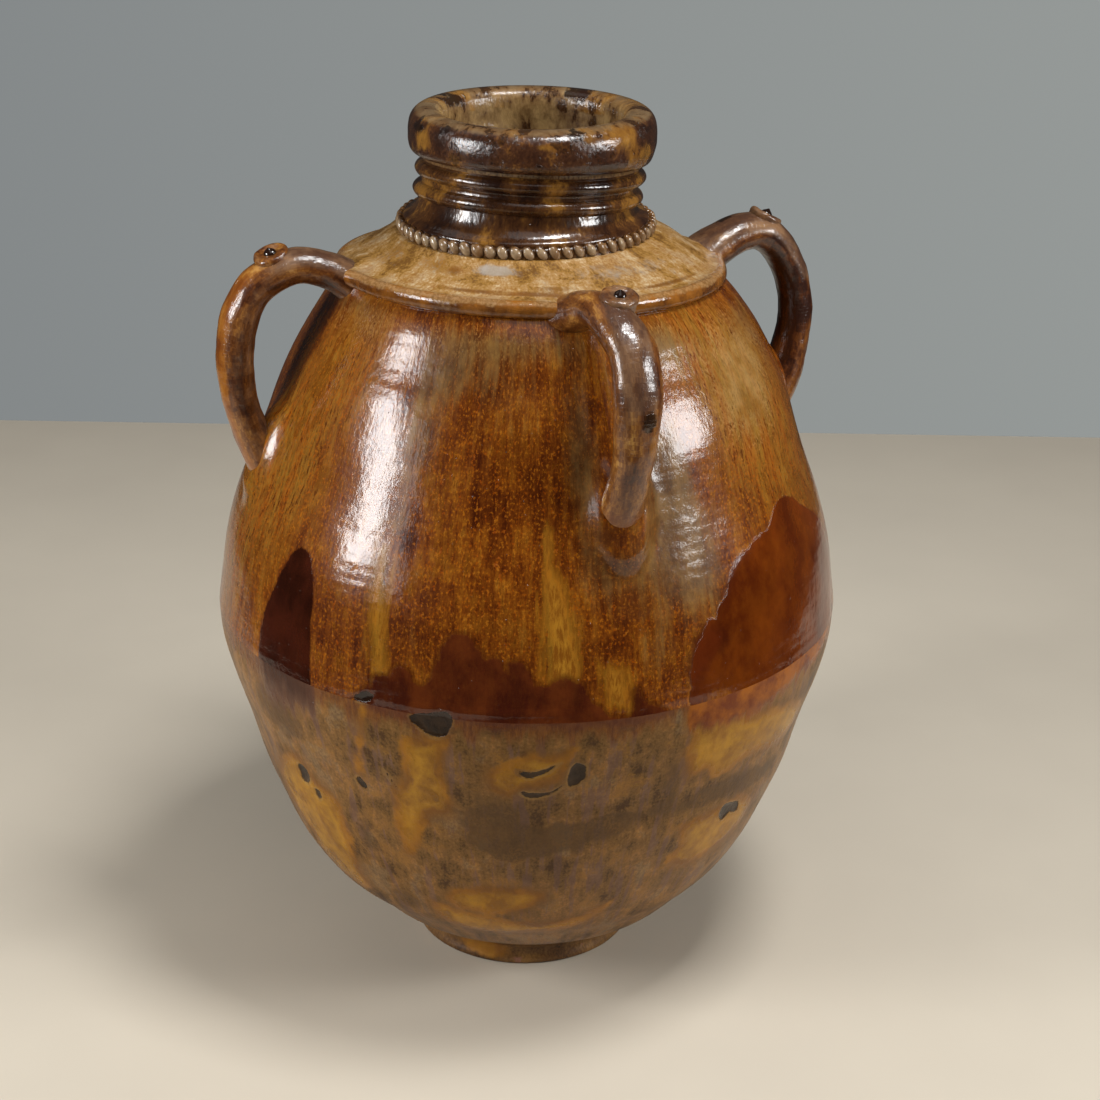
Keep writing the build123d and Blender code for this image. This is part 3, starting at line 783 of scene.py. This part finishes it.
def mark_glaze(mesh, profile, outer_count):
    """Writes on each point where the runs and patches of glaze lie, and the run of its grain."""
    at = as_seen(points_of(mesh))
    angle = np.degrees(np.arctan2(at[:, 0], -at[:, 1]))
    radius, height = np.hypot(at[:, 0], at[:, 1]), at[:, 2]
    nearest = np.empty(len(at), int)
    for start in range(0, len(at), CHUNK):
        part = slice(start, start + CHUNK)
        gap = np.hypot(radius[part, None] - profile[None, :, 0], height[part, None] - profile[None, :, 1])
        nearest[part] = gap.argmin(axis=1)
    outside = nearest < outer_count
    even = max(LEAST_EVEN_RADIUS, float(np.median(radius[outside])))
    turn = np.radians(angle)
    along = lengths_of(profile)[nearest] + profile[0][1]
    write(mesh, "grain", np.stack([even * np.sin(turn), -even * np.cos(turn), along], axis=1))
    skin_place = np.interp(height, SKIN[:, 1], SKIN_LENGTH)
    fields = {}
    for name, outlines in OUTLINES.items():
        field = np.full(len(at), FAR)
        for corners in outlines:
            angles, heights = zip(*corners)
            near = outside & (angle > min(angles) - NEAR_ANGLE) & (angle < max(angles) + NEAR_ANGLE)
            near &= (height > min(heights) - NEAR_HEIGHT) & (height < max(heights) + NEAR_HEIGHT)
            if near.any():
                scale = radius[near] * math.pi / 180
                laid = [(a * scale, np.interp(h, SKIN[:, 1], SKIN_LENGTH)) for a, h in rounded(corners)]
                depth = depth_inside(angle[near] * scale, skin_place[near], laid)
                field[near] = np.maximum(field[near], depth)
        fields[name] = field
    for name, spots in SHADES.items():
        field = np.zeros(len(at))
        for a, h, half_angle, half_height, strength in spots:
            away = (angle - a + 180) % 360 - 180
            field += strength * bump_at(np.hypot(away / half_angle, (height - h) / half_height), 0, 1)
        fields[name] = np.where(outside, field, 0)
    fields["throat"] = np.where(outside & (radius > THROAT_RADIUS), 0.0, 1.0)
    fields["rim"] = np.where(outside, height - RIM_HEIGHT, FAR)
    fields["tail"] = np.minimum(fields["runs"], TAIL_SLOPE * (height - TAIL_HEIGHT))
    for name, field in fields.items():
        write(mesh, name, field)
    return fields


# Glazes

# Patterns that the glazes share: (size across in mm, size along the run in mm, detail, roughness).
# The finest strands are drawn a little coarser than the real ones, which would not show.
PATTERNS = {
    "strand": (2.3, 12.0, 4.0, 0.7),
    "sheaf": (8.0, 65.0, 4.0, 0.6),
    "cloudy": (32.0, 46.0, 6.0, 0.6),
    "bloom": (20.0, 26.0, 6.0, 0.65),
    "fleck": (2.0, 2.6, 3.0, 0.6),
    "ragged": (9.0, 11.0, 7.0, 0.68),
    "peel": (5.0, 6.0, 2.0, 0.5),
    "grit": (1.1, 1.3, 2.0, 0.5),
    "smear": (60.0, 4.0, 4.0, 0.6),
}
MARKS = (*OUTLINES, *SHADES, "throat", "face", "glint", "rim", "tail")
# Keep the patterns apart: steps across and along from one to the next, and one shift in depth
SHIFT_ACROSS, SHIFT_DEEP, SHIFT_ALONG = 17.3, 5.1, 31.7
MIX_FROM, MIX_TO = 0.4, 0.6  # where a pattern goes from a layer's first colour to its second
# Tiny burst bubbles in the skin of the glaze, in mm, and the share of each that is full depth
PIN_GAP, PIN_SIZE, PIN_CORE = 8.0, 0.55, 0.3


def glaze(name, blend, colours, layers, rough, coat, coat_rough, relief, shine=0.25, pins=0.3):
    """One fired glaze: a ground that blends patterns, layers laid over it by place, and its skin.

    blend: {pattern or mark: weight}; colours: (place, hex) along that blend.
    layers: (mark, from, to, ragged mm or (pattern, mm), hex, hex, pattern between them, strength,
    rough, and where it stands up or lies low its lift in mm).
    relief: {pattern: height in mm}.
    """
    material = bpy.data.materials.new(name)
    material.use_nodes = True
    tree = material.node_tree
    shader = tree.nodes["Principled BSDF"]
    grain = put(tree, "Attribute", attribute_name="grain")["Vector"]
    signal = {}
    for number, (key, (across, along, detail, roughness)) in enumerate(PATTERNS.items()):
        stretched = put(tree, "Mapping", {
            "Vector": grain, "Scale": (1 / across, 1 / across, 1 / along),
            "Location": (SHIFT_ACROSS * number, SHIFT_DEEP, SHIFT_ALONG * number),
        })[0]
        signal[key] = put(
            tree, "TexNoise", {"Vector": stretched, "Scale": 1.0, "Detail": detail, "Roughness": roughness}
        )[0]
    for key in MARKS:
        signal[key] = put(tree, "Attribute", attribute_name=key)["Fac"]

    total = height = 0.0
    for key, weight in blend.items():
        total = put(tree, "Math", {0: signal[key], 1: weight, 2: total}, operation="MULTIPLY_ADD")[0]
    for key, size in relief.items():
        height = put(tree, "Math", {0: signal[key], 1: size, 2: height}, operation="MULTIPLY_ADD")[0]
    colour = put(tree, "ValToRGB", {"Fac": total})[0]
    stops = colour.node.color_ramp.elements
    while len(stops) < len(colours):
        stops.new(0.5)
    for stop, (place, text) in zip(stops, colours):
        stop.position, stop.color = place, hex_colour(text)
    roughness = rough
    for mark, low, high, edge, first, second, pattern, strength, layer_rough, *lift in layers:
        tearing, ragged = edge if isinstance(edge, tuple) else ("ragged", edge)
        # Noise keeps near a half, so an edge goes as far out as it goes in
        depth = put(
            tree, "Math", {0: signal[tearing], 1: 4 * ragged, 2: signal[mark]}, operation="MULTIPLY_ADD"
        )[0]
        there = put(tree, "MapRange", {
            "Value": depth, "From Min": low + 2 * ragged, "From Max": high + 2 * ragged, "To Max": strength,
        }, interpolation_type="SMOOTHSTEP")[0]
        share = put(tree, "MapRange", {
            "Value": signal[pattern], "From Min": MIX_FROM, "From Max": MIX_TO,
        })[0]
        tint = put(tree, "Mix", {0: share, 6: hex_colour(first), 7: hex_colour(second)}, data_type="RGBA")[2]
        colour = put(tree, "Mix", {0: there, 6: colour, 7: tint}, data_type="RGBA")[2]
        roughness = put(tree, "Mix", {0: there, 2: roughness, 3: layer_rough}, data_type="FLOAT")[0]
        if lift:
            height = put(tree, "Math", {0: there, 1: lift[0], 2: height}, operation="MULTIPLY_ADD")[0]
    spread = put(tree, "TexVoronoi", {"Vector": grain, "Scale": 1 / PIN_GAP})["Distance"]
    pin = put(tree, "MapRange", {
        "Value": spread, "From Min": PIN_CORE * PIN_SIZE / PIN_GAP, "From Max": PIN_SIZE / PIN_GAP,
        "To Min": pins, "To Max": 0.0,
    })[0]
    height = put(tree, "Math", {0: height, 1: pin}, operation="ADD")[0]
    bump = put(tree, "Bump", {"Height": height, "Distance": MM, "Strength": 1.0})[0]
    for socket, value in (
        ("Base Color", colour), ("Roughness", roughness), ("Normal", bump), ("Coat Normal", bump),
        ("Specular IOR Level", shine), ("Coat Weight", coat), ("Coat Roughness", coat_rough),
    ):
        if isinstance(value, bpy.types.NodeSocket):
            tree.links.new(value, shader.inputs[socket])
        else:
            shader.inputs[socket].default_value = value
    return material


BLOT_RIM = ("blots", -3, -0.6, 1.4, "A07A40", "6E4C28", "bloom", 0.55, 0.3, 0.35)
BLOT_LAYER = ("blots", -0.3, 0.9, 1.5, "35251A", "18100B", "bloom", 0.93, 0.12, -0.6)

finishes = {
    # Fired earthenware under a thin wash: dull brown, with ochre where the glaze ran down to it
    "bare_foot": glaze(
        "fired_earthenware_foot", {"cloudy": 0.5, "fleck": 0.3, "bloom": 0.2},
        ((0.41, "402A14"), (0.47, "5C3C1C"), (0.53, "704E28"), (0.60, "8A6434")),
        (("tone", 0.3, 0.9, ("bloom", 0.5), "A8721E", "7E4A14", "cloudy", 0.9, 0.4, 0.2),
         ("bloom", 0.6, 0.66, 0.02, "A0705C", "8A5E4C", "fleck", 0.8, 0.8, -0.3)),
        0.5, 0.25, 0.3, {"peel": 0.4, "fleck": 0.2},
    ),
    # Thin lead glaze on the bowl: half matt grey-brown with ochre runs, clouds and black blots
    "bowl_glaze": glaze(
        "thin_lead_glaze", {"cloudy": 0.36, "sheaf": 0.2, "bloom": 0.26, "fleck": 0.18},
        ((0.42, "4A2E10"), (0.465, "6C4C22"), (0.51, "805A2D"), (0.55, "986A36"), (0.60, "B48640")),
        (("sheaf", 0.53, 0.61, 0.03, "604438", "785A4A", "bloom", 0.72, 0.45),
         ("cloudy", 0.55, 0.62, 0.02, "66503A", "806848", "fleck", 0.6, 0.4),
         ("bloom", 0.55, 0.61, 0.02, "9A6C2A", "704A1E", "fleck", 0.6, 0.35, 0.1),
         ("rim", -8, 8, ("sheaf", 14), "5A2E0E", "7E4A18", "strand", 0.85, 0.2),
         ("ochre", -8, 8, ("cloudy", 9), "82541A", "603E18", "bloom", 0.7, 0.34),
         ("ochre", -1, 6, ("bloom", 7), "A66C0E", "78490E", "cloudy", 0.8, 0.26, 0.12),
         ("ochre", 5, 14, ("bloom", 9), "C08C26", "8C5E14", "bloom", 0.65, 0.26, 0.1),
         ("cloud", 0.3, 0.62, ("bloom", 0.5), "5E4220", "483018", "fleck", 0.75, 0.4),
         ("gold", -4, 6, ("sheaf", 8), "A86A14", "6E4010", "strand", 0.8, 0.25),
         ("humps", -8, 3, ("bloom", 6), "521F0A", "6A3C20", "cloudy", 0.8, 0.25, 0.2),
         ("runs", -18, 4, ("sheaf", 14), "542612", "604030", "cloudy", 0.88, 0.25, 0.2),
         ("tail", -6, 14, ("sheaf", 9), "2A0E05", "40200F", "cloudy", 0.93, 0.15),
         ("sheet", -9, 4, ("sheaf", 10), "9C560A", "6A2C08", "bloom", 0.92, 0.2, 0.3),
         BLOT_RIM, BLOT_LAYER),
        0.44, 0.24, 0.2, {"peel": 0.22, "fleck": 0.16, "bloom": 0.5}, shine=0.08,
    ),
    # Thick amber lead glaze: glassy skin over fine upright strands of gold and brown
    "dome_glaze": glaze(
        "amber_lead_glaze",
        {"strand": 0.22, "sheaf": 0.2, "cloudy": 0.26, "bloom": 0.16, "fleck": 0.1, "smear": 0.07,
         "tone": 0.022},
        ((0.42, "401702"), (0.47, "5C2A05"), (0.51, "733B09"), (0.55, "8C5211"), (0.60, "A87024")),
        (("tone", 0.1, 0.9, ("sheaf", 0.3), "9C6C24", "522608", "strand", 0.85, 0.3),
         ("tone", 0.3, 1, ("fleck", 0.6), "9A480A", "7E5A1C", "sheaf", 0.4, 0.3),
         ("cloudy", 0.53, 0.62, 0.03, "562808", "6E3C0A", "strand", 0.5, 0.22),
         ("fleck", 0.56, 0.61, 0.01, "A04606", "BC7418", "strand", 0.5, 0.22),
         ("strand", 0.57, 0.63, 0.01, "3C1806", "542608", "fleck", 0.6, 0.22),
         # pale tan bloom, partly a painted sheen
         ("tan_bloom_and_sheen", 0.2, 0.9, ("fleck", 0.5), "A4834E", "82602C", "bloom", 0.65, 0.32),
         ("gold", -6, 7, ("sheaf", 13), "A06C1C", "6C3E0E", "strand", 0.75, 0.2),
         ("gold", 0, 9, ("strand", 9), "B8902F", "8A5C18", "strand", 0.72, 0.2, 0.1),
         # the veil: dull grey-brown glaze, partly a painted sheen and painted shade
         ("veil_sheen_and_shade", 0.2, 0.9, ("sheaf", 0.3), "523A1E", "785E36", "bloom", 0.76, 0.34, 0.1),
         ("cloud", 0.3, 0.8, 0.2, "42200E", "5A381E", "bloom", 0.75, 0.25),
         ("sheet", -0.9, 1, 1.9, "4C1B03", "6A2E06", "cloudy", 0.97, 0.14, 0.5),
         ("sheet", 3, 30, ("bloom", 20), "522004", "703608", "bloom", 0.5, 0.14),
         ("cloud", 0.4, 0.9, 0.15, "3A1204", "541E08", "cloudy", 0.75, 0.14),
         ("gold", 1, 7, ("sheaf", 6), "A8661A", "7E4210", "strand", 0.5, 0.2),
         ("humps", -5, -0.5, 2.2, "421A06", "5C300C", "strand", 0.7, 0.2),
         ("humps", -0.9, 1.6, 2.6, "3C140A", "5E2A10", "cloudy", 0.84, 0.13, 0.1),
         ("runs", -2.5, -0.5, 1.2, "4A1E08", "6C3A10", "strand", 0.5, 0.2),
         ("runs", -0.9, 1.3, 1.8, "260B04", "3C160A", "cloudy", 0.97, 0.12, 0.06),
         BLOT_LAYER),
        0.3, 0.6, 0.055, {"peel": 0.17, "strand": 0.05, "grit": 0.06, "bloom": 0.18}, shine=0.14,
    ),
    # Worn glaze on the shoulder: rubbed olive-tan cone, glossy amber only on the rolled ridge
    "shoulder_glaze": glaze(
        "worn_lead_glaze", {"cloudy": 0.42, "bloom": 0.3, "fleck": 0.2, "smear": 0.08},
        ((0.43, "6C481C"), (0.475, "946C30"), (0.515, "A47E4E"), (0.55, "B89C72"), (0.60, "CEBA9A")),
        (("cloud", 0.25, 0.6, 0.1, "7A4A16", "5A3410", "bloom", 0.8, 0.35),
         ("cloudy", 0.54, 0.6, 0.02, "805018", "9A7034", "fleck", 0.6, 0.3),
         ("tone", 0.2, 0.9, ("bloom", 0.6), "8A5A18", "5E3A10", "fleck", 0.7, 0.3),
         # grey veil on the cone, partly a painted sheen
         ("veil_sheen_and_shade", 0.3, 0.9, 0.4, "A69E94", "8C8070", "cloudy", 0.8, 0.45),
         ("face", 0.3, 0.7, 0.06, "925A20", "502608", "bloom", 0.95, 0.12, 0.3),
         ("glint", 0.3, 0.8, ("bloom", 0.8), "B0895A", "8A6438", "fleck", 0.65, 0.2, 0.1)),
        0.44, 0.5, 0.1, {"peel": 0.4, "fleck": 0.2, "bloom": 0.6, "smear": 0.2},
    ),
    # Pressed clay beads: dark brown glaze, painted lighter on their outer tips as a highlight and left dark
    # between them as painted shade
    "bead_glaze": glaze(
        "bead_glaze_painted_light", {"bloom": 0.6, "fleck": 0.4},
        ((0.42, "3C240E"), (0.5, "5A3A1A"), (0.58, "7A542C")),
        (("face", 0.3, 0.9, 0.3, "AC9474", "765636", "bloom", 0.85, 0.28),),
        0.34, 0.85, 0.1, {"peel": 0.3, "fleck": 0.15},
    ),
    # Dark pooled glaze round the neck: brown-black in the grooves with amber breaking through
    "neck_glaze": glaze(
        "dark_lead_glaze", {"cloudy": 0.5, "bloom": 0.35, "fleck": 0.15, "tone": 0.06},
        ((0.42, "26130A"), (0.48, "3C2210"), (0.54, "543418"), (0.60, "8C6026")),
        (("throat", 0.4, 0.6, 0.05, "8A683E", "4A3016", "fleck", 0.9, 0.5, 0.1),),
        0.24, 0.8, 0.09, {"peel": 0.35, "bloom": 0.6},
    ),
    # Dark purple-brown glaze on the lip, amber where it thinned over the edges, and a painted highlight in
    # grey-tan along its crest
    "lip_glaze": glaze(
        "chipped_lead_glaze", {"cloudy": 0.45, "bloom": 0.35, "fleck": 0.2, "tone": 0.04},
        ((0.43, "2E190F"), (0.49, "3E2416"), (0.54, "4E301C"), (0.58, "6E4722"), (0.63, "9A6C2A")),
        (("throat", 0.4, 0.6, 0.05, "A08050", "5A3C1C", "bloom", 0.92, 0.5, 0.1),
         # the veil here lies along the crest: a painted highlight
         ("veil_sheen_and_shade", 0.3, 0.8, 0.2, "8E7452", "6A4C2C", "bloom", 0.85, 0.35),
         ("tone", 0.35, 0.9, ("cloudy", 0.9), "A4742E", "663F18", "bloom", 0.8, 0.22, 0.1),
         ("bloom", 0.57, 0.61, 0.02, "20120A", "3A2010", "fleck", 0.75, 0.2, -0.1),
         ("cloud", 0.3, 0.75, 0.7, "150D0A", "2A1810", "bloom", 0.92, 0.15, 0.25)),
        0.26, 0.8, 0.09, {"peel": 0.4, "bloom": 1.2, "fleck": 0.2},
    ),
    # Speckled glaze on the coils: grey-brown in places, partly a painted sheen on their tops, orange-brown on
    # the outer face, and darker on the inner sides as painted shade
    "handle_glaze": glaze(
        "speckled_lead_glaze", {"cloudy": 0.26, "bloom": 0.3, "fleck": 0.18, "sheaf": 0.26, "tone": 0.06},
        ((0.41, "2E1408"), (0.46, "50280D"), (0.51, "6E4018"), (0.55, "8C5A26"), (0.60, "B4833F")),
        (("face", 0.3, 0.9, 0.15, "7C3E0C", "A0601A", "bloom", 0.65, 0.3),
         # grey-brown veil, on the tops of the coils partly a painted sheen
         ("veil_sheen_and_shade", 0.25, 0.9, 0.25, "523A2C", "86684E", "bloom", 0.75, 0.3, 0.1),
         ("gold", 0.3, 0.7, 0.15, "9C6418", "7A4A12", "fleck", 0.9, 0.3),
         ("cloud", 0.3, 0.6, 0.15, "1E110A", "32200F", "bloom", 0.9, 0.15, 0.1)),
        0.36, 0.75, 0.11, {"peel": 0.4, "grit": 0.14, "fleck": 0.14, "bloom": 0.4},
    ),
    # Drops of almost black glass
    "pip_glaze": glaze(
        "black_glaze_drop", {"cloudy": 1.0}, ((0.3, "0E0806"), (0.7, "2A1A12")), (),
        0.1, 0.9, 0.04, {"peel": 0.1}, pins=0.0,
    ),
}


# Putting the jar together

def dress(piece, slot, *nodes):
    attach(piece, "root")
    if nodes:
        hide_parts(*nodes)


set_camera()
set_room()

SLOTS = {
    "foot_ring": "bare_foot", "base_disc": "bowl_glaze", "lower_body": "bowl_glaze",
    "upper_body": "dome_glaze", "shoulder": "shoulder_glaze", "neck": "neck_glaze", "lip": "lip_glaze",
}
# How thick the glaze stands, in mm, where it ran, and over which depths inside its outline it rises
THICKNESS = (("runs", 0.2, -2, 6), ("humps", 0.45, -1.5, 3), ("sheet", 0.5, -1.5, 3), ("blots", -1.2, -1, 3))
# Marks that the lip and the ridge add: (strength, heights between which it sets in). The veil along the lip's
# crest is a painted highlight
LIP_SHADES = {"tone": (0.3, 751, 758), "veil_sheen_and_shade": (0.75, 753, 759)}
ROLL_TOP, ROLL_GLINT = (634.5, 637.0), (629.0, 635.0)
throwing = make_throwing_tree()
for node, (turns, outer_count, profile) in profiles().items():
    piece = throw(node, throwing, turns, profile, finishes[SLOTS[node]])
    fields = mark_glaze(piece.data, profile, outer_count)
    points = points_of(piece.data)
    if node in ("lower_body", "upper_body"):
        swell = sum(thick * ramp(fields[mark], low, high) for mark, thick, low, high in THICKNESS)
        flat = np.hypot(points[:, 0], points[:, 1])
        points[:, :2] *= (1 + swell * MM / np.maximum(flat, TINY))[:, None]
    set_points(piece.data, pull_out_of_true(points))
    height = as_seen(points)[:, 2]
    if node == "lip":
        for mark, (strength, low, high) in LIP_SHADES.items():
            write(piece.data, mark, fields[mark] + strength * ramp(height, low, high))
    if node == "shoulder":
        roll = 1 - ramp(height, *ROLL_TOP)
        write(piece.data, "face", roll)
        write(piece.data, "glint", roll * ramp(height, *ROLL_GLINT))
    dress(piece, SLOTS[node], node)


GRAIN_GAP = 400.0  # keeps the grain of each coil apart from the others
ROOT_DEPTH = 7.0  # how far a coil reaches into the wall
COIL_DENTS = ((0.8, 97.0, 22.0), (0.3, 61.0, 8.0))  # as (depth, shift, size)


def mark_coil(mesh, side):
    """Run of the grain along a coil, its outer face, its own stains and grey veils, and painted shade on the
    inner sides of the left and right coils.

    The stains lie between shares of the coil's length, mm outwards from its middle line (lift) and
    shares of its half width (edge).
    """
    turn = math.radians(HANDLES[side][0])
    x, y, up = points_of(mesh).T / MM
    out, across = x * math.cos(turn) + y * math.sin(turn), y * math.cos(turn) - x * math.sin(turn)
    line = handle_line(side)
    nearest = np.hypot(out[:, None] - line[None, :, 0], up[:, None] - line[None, :, 1]).argmin(axis=1)
    lengths = lengths_of(line)
    way = np.gradient(line, axis=0)
    way /= np.hypot(*way.T)[:, None]
    lift = (up - line[nearest, 1]) * way[nearest, 0] - (out - line[nearest, 0]) * way[nearest, 1]
    along = lengths[nearest] + GRAIN_GAP * (1 + list(HANDLES).index(side))
    write(mesh, "grain", np.stack([lift, across, along], axis=1))
    share, edge = lengths[nearest] / lengths[-1], across / (COIL_WIDTH / 2)
    low, outer = ramp(share, 0.72, 0.9), ramp(lift, 2, 12)
    marks = {"face": outer, **dict.fromkeys(("veil_sheen_and_shade", "tone", "gold", "cloud"), np.zeros(len(share)))}
    if side == "front":
        marks["face"] = 0.2 * outer + 0.8 * low
        middle = between(share, (0.1, 0.26, 0.45, 0.62)) * (1 - ramp(np.abs(edge), 0.6, 1))
        marks["veil_sheen_and_shade"] = 0.85 * ramp(lift, -8, 6) * middle
        marks["gold"] = bump_at(share, 0.6, 0.05) * bump_at(edge, 0.75, 0.4)
        marks["tone"] = 0.6 * ramp(share, 0.5, 0.7)
        stain = bump_at(share, 0.53, 0.03) * bump_at(edge, 0.35, 0.4)
        marks["cloud"] = 0.9 * stain + 0.62 * ramp(share, 0.9, 0.985)
    elif side == "left":
        top = 1 - ramp(share, 0.2, 0.36)
        marks["veil_sheen_and_shade"] = 0.9 * top * ramp(lift, -4, 8) + 0.5 * (1 - outer) * (1 - top)
        marks["face"] = ramp(lift, 6, 14) * ramp(share, 0.2, 0.4)
        # darker except on the outer face: on the inner side this is painted shade
        marks["tone"] = -0.3 + 0.5 * marks["face"]
    elif side == "right":
        upper, crown = 1 - ramp(share, 0.42, 0.52), 1 - ramp(share, 0.6, 0.7)
        marks["veil_sheen_and_shade"] = 1.2 * ramp(lift, -2, 8) * upper + 0.5 * ramp(lift, 8, 14) * crown
        # darker on the inner side, which faces the wall (painted shade), and from the middle of the coil
        # down, but not at its lower end
        marks["tone"] = (low - 1) * (1 - outer + 0.6 * ramp(share, 0.5, 0.6))
        marks["face"] = 0.5 * low
        marks["cloud"] = 0.9 * bump_at(share, 0.14, 0.03) * bump_at(lift, 15, 3) * bump_at(edge, 0.1, 0.3)
    for name, values in marks.items():
        write(mesh, name, values)


coiling = make_coil_tree()
for side in HANDLES:
    piece = make_handle(side, coiling, finishes["handle_glaze"])
    mark_coil(piece.data, side)
    points = points_of(piece.data)
    points = points + sum(dents(points, *dent) for dent in COIL_DENTS) * MM
    # The pressed ends stop inside the wall
    flat = np.hypot(points[:, 0], points[:, 1])
    skin = np.interp(points[:, 2] / MM, SKIN[:, 1], SKIN[:, 0])
    points[:, :2] *= (np.maximum(flat, (skin - ROOT_DEPTH) * MM) / flat)[:, None]
    set_points(piece.data, points)
    dress(piece, "handle_glaze", f"handle_{side}")


BEAD_WOBBLE = 0.14  # how unevenly the beads lean, in radians
BEAD_DENTS = (0.45, 41.0, 5.0)  # depth, shift, size
BEAD_FACE = (104.5, 109.0)  # radii between which a bead's lighter outer tip, a painted highlight, begins
STRIP_TURNS = 300


def make_bead_tree():
    """Geometry nodes that press a row of slanted oval beads round the collar."""
    tree, came = start_tree("pressed_beads", {
        "Geometry": ["Start"], "Int": ["Count", "Seed"], "Float": ["Row radius", "Row height", "Slant"],
        "Vector": ["Least bead", "Largest bead"], "Material": ["Clay"],
    }, "Beads")
    ring = put(tree, "GeometryNodeMeshCircle", {"Vertices": came["Count"], "Radius": came["Row radius"]})[0]
    lift = put(tree, "CombineXYZ", {2: came["Row height"]})[0]
    raised = put(tree, "GeometryNodeTransform", {"Geometry": ring, "Translation": lift})[0]
    index = put(tree, "GeometryNodeInputIndex")[0]
    share = put(tree, "Math", {0: index, 1: came["Count"]}, operation="DIVIDE")[0]
    turn = put(tree, "Math", {0: share, 1: 2 * math.pi}, operation="MULTIPLY")[0]
    wobble = put(tree, "FunctionNodeRandomValue", {
        2: -BEAD_WOBBLE, 3: BEAD_WOBBLE, "Seed": came["Seed"],
    }, data_type="FLOAT")[1]
    lean = put(tree, "Math", {0: wobble, 1: came["Slant"]}, operation="ADD")[0]
    way = put(tree, "CombineXYZ", {0: lean, 2: turn})[0]
    size = put(tree, "FunctionNodeRandomValue", {
        0: came["Least bead"], 1: came["Largest bead"], "Seed": came["Seed"],
    }, data_type="FLOAT_VECTOR")[0]
    bead = put(tree, "GeometryNodeMeshUVSphere", {"Segments": 16, "Rings": 12, "Radius": 1.0})[0]
    pressed = put(tree, "GeometryNodeInstanceOnPoints", {
        "Points": raised, "Instance": bead, "Rotation": way, "Scale": size,
    })[0]
    return end_tree(tree, pressed, came["Clay"], "Beads")


def mark_small(mesh):
    """Grain of a small piece: its own place in millimetres."""
    write(mesh, "grain", points_of(mesh) / MM)


start = bpy.data.meshes.new("bead_start")
start.from_pydata([(0, 0, 0)], [], [])
beads = grow("bead_band_pressed", make_bead_tree(), start, {
    "Count": 64, "Seed": 7, "Row radius": 105.0 * MM, "Row height": 665.6 * MM, "Slant": 0.62,
    "Least bead": (4.0 * MM, 3.9 * MM, 6.0 * MM), "Largest bead": (4.8 * MM, 4.7 * MM, 6.9 * MM),
    "Clay": finishes["bead_glaze"],
})
mark_small(beads.data)
points = points_of(beads.data)
# Each bead's outer tip is painted lighter: a painted highlight
write(beads.data, "face", ramp(np.hypot(points[:, 0], points[:, 1]) / MM, *BEAD_FACE))
set_points(beads.data, pull_out_of_true(points + dents(points, *BEAD_DENTS) * MM))
beads.data.shade_smooth()
dress(beads, "shoulder_glaze", "bead_band")
strip_line = outline(
    straight([(102.6, 660.6), (106.2, 660.6)], 1.5),
    spline([(106.2, 660.6), (106.4, 664), (105.6, 667.4), (104.0, 669.0), (102.6, 668.6)], 1.2),
    straight([(102.6, 668.6), (102.6, 660.6)], 2),
)
strip = throw("bead_strip", throwing, STRIP_TURNS, strip_line, finishes["bead_glaze"])
mark_small(strip.data)
set_points(strip.data, pull_out_of_true(points_of(strip.data)))
dress(strip, "shoulder_glaze")

# Half profiles of a button and its pip
BUTTON = (
    straight([(0, -6), (12.6, -6)], 3),
    spline([(12.6, -6), (13.3, -1), (13.9, 1.6), (14, 3.4), (13.2, 4.9), (11.4, 5.6), (9, 5.5), (7, 5),
            (5.4, 4.8)], 0.8),
    straight([(5.4, 4.8), (0, 4.7), (0, -6)], 2),
)
PIP = (
    spline([(4.8, 0), (4.5, 1.2), (3.4, 2.5), (1.9, 3.6), (0.8, 4.5), (0.25, 4.9)], 0.35),
    straight([(0.25, 4.9), (0, 4.95), (0, 0), (4.8, 0)], 1),
)
# Each as (name, runs, steps round, height on the button, depth of its dents, slot)
SMALL_PIECES = (("button", BUTTON, 72, 0.0, 1.0, "handle_glaze"), ("pip", PIP, 40, 4.7, 0.3, "pip_glaze"))
SEAT_DEPTH, SMALL_GROWTH, SMALL_DENTS = 2.5, 1.07, (29.0, 9.0)
# How dull the glaze of the buttons is, and how much and over which size that changes
DULL, DULL_LEFT, DULL_CHANGE, DULL_SIZE = 0.75, 0.25, 0.5, 9.0
for side, (turn, lean, (button_radius, button_height, button_angle, tilt), _) in HANDLES.items():
    outwards, rise = math.radians(turn + lean[1]), math.radians(button_angle)
    away = Vector((math.cos(outwards), math.sin(outwards), 0))
    axis = away * math.cos(rise) + Vector((0, 0, math.sin(rise)))
    axis = Matrix.Rotation(math.radians(tilt), 3, away) @ axis
    seat = away * button_radius * MM + Vector((0, 0, button_height * MM)) - axis * SEAT_DEPTH * MM
    turned_to = np.array(axis.to_track_quat("Z", "Y").to_matrix())
    for name, runs, turns, lift, dent, slot in SMALL_PIECES:
        piece = throw(f"{name}_{side}", throwing, turns, outline(*runs), finishes[slot])
        mark_small(piece.data)
        points = points_of(piece.data)
        dull = DULL_LEFT if side == "left" else DULL
        write(piece.data, "veil_sheen_and_shade", dull + DULL_CHANGE * rough_noise(points / MM + turn, DULL_SIZE))
        points = points * SMALL_GROWTH + dents(points + turn * MM, dent, *SMALL_DENTS) * MM
        points[:, 2] += lift * MM
        set_points(piece.data, points @ turned_to.T + np.array(seat))
        piece.data.shade_smooth()
        dress(piece, slot, f"{name}_{side}")

bpy.context.scene.view_settings.view_transform = "Standard"
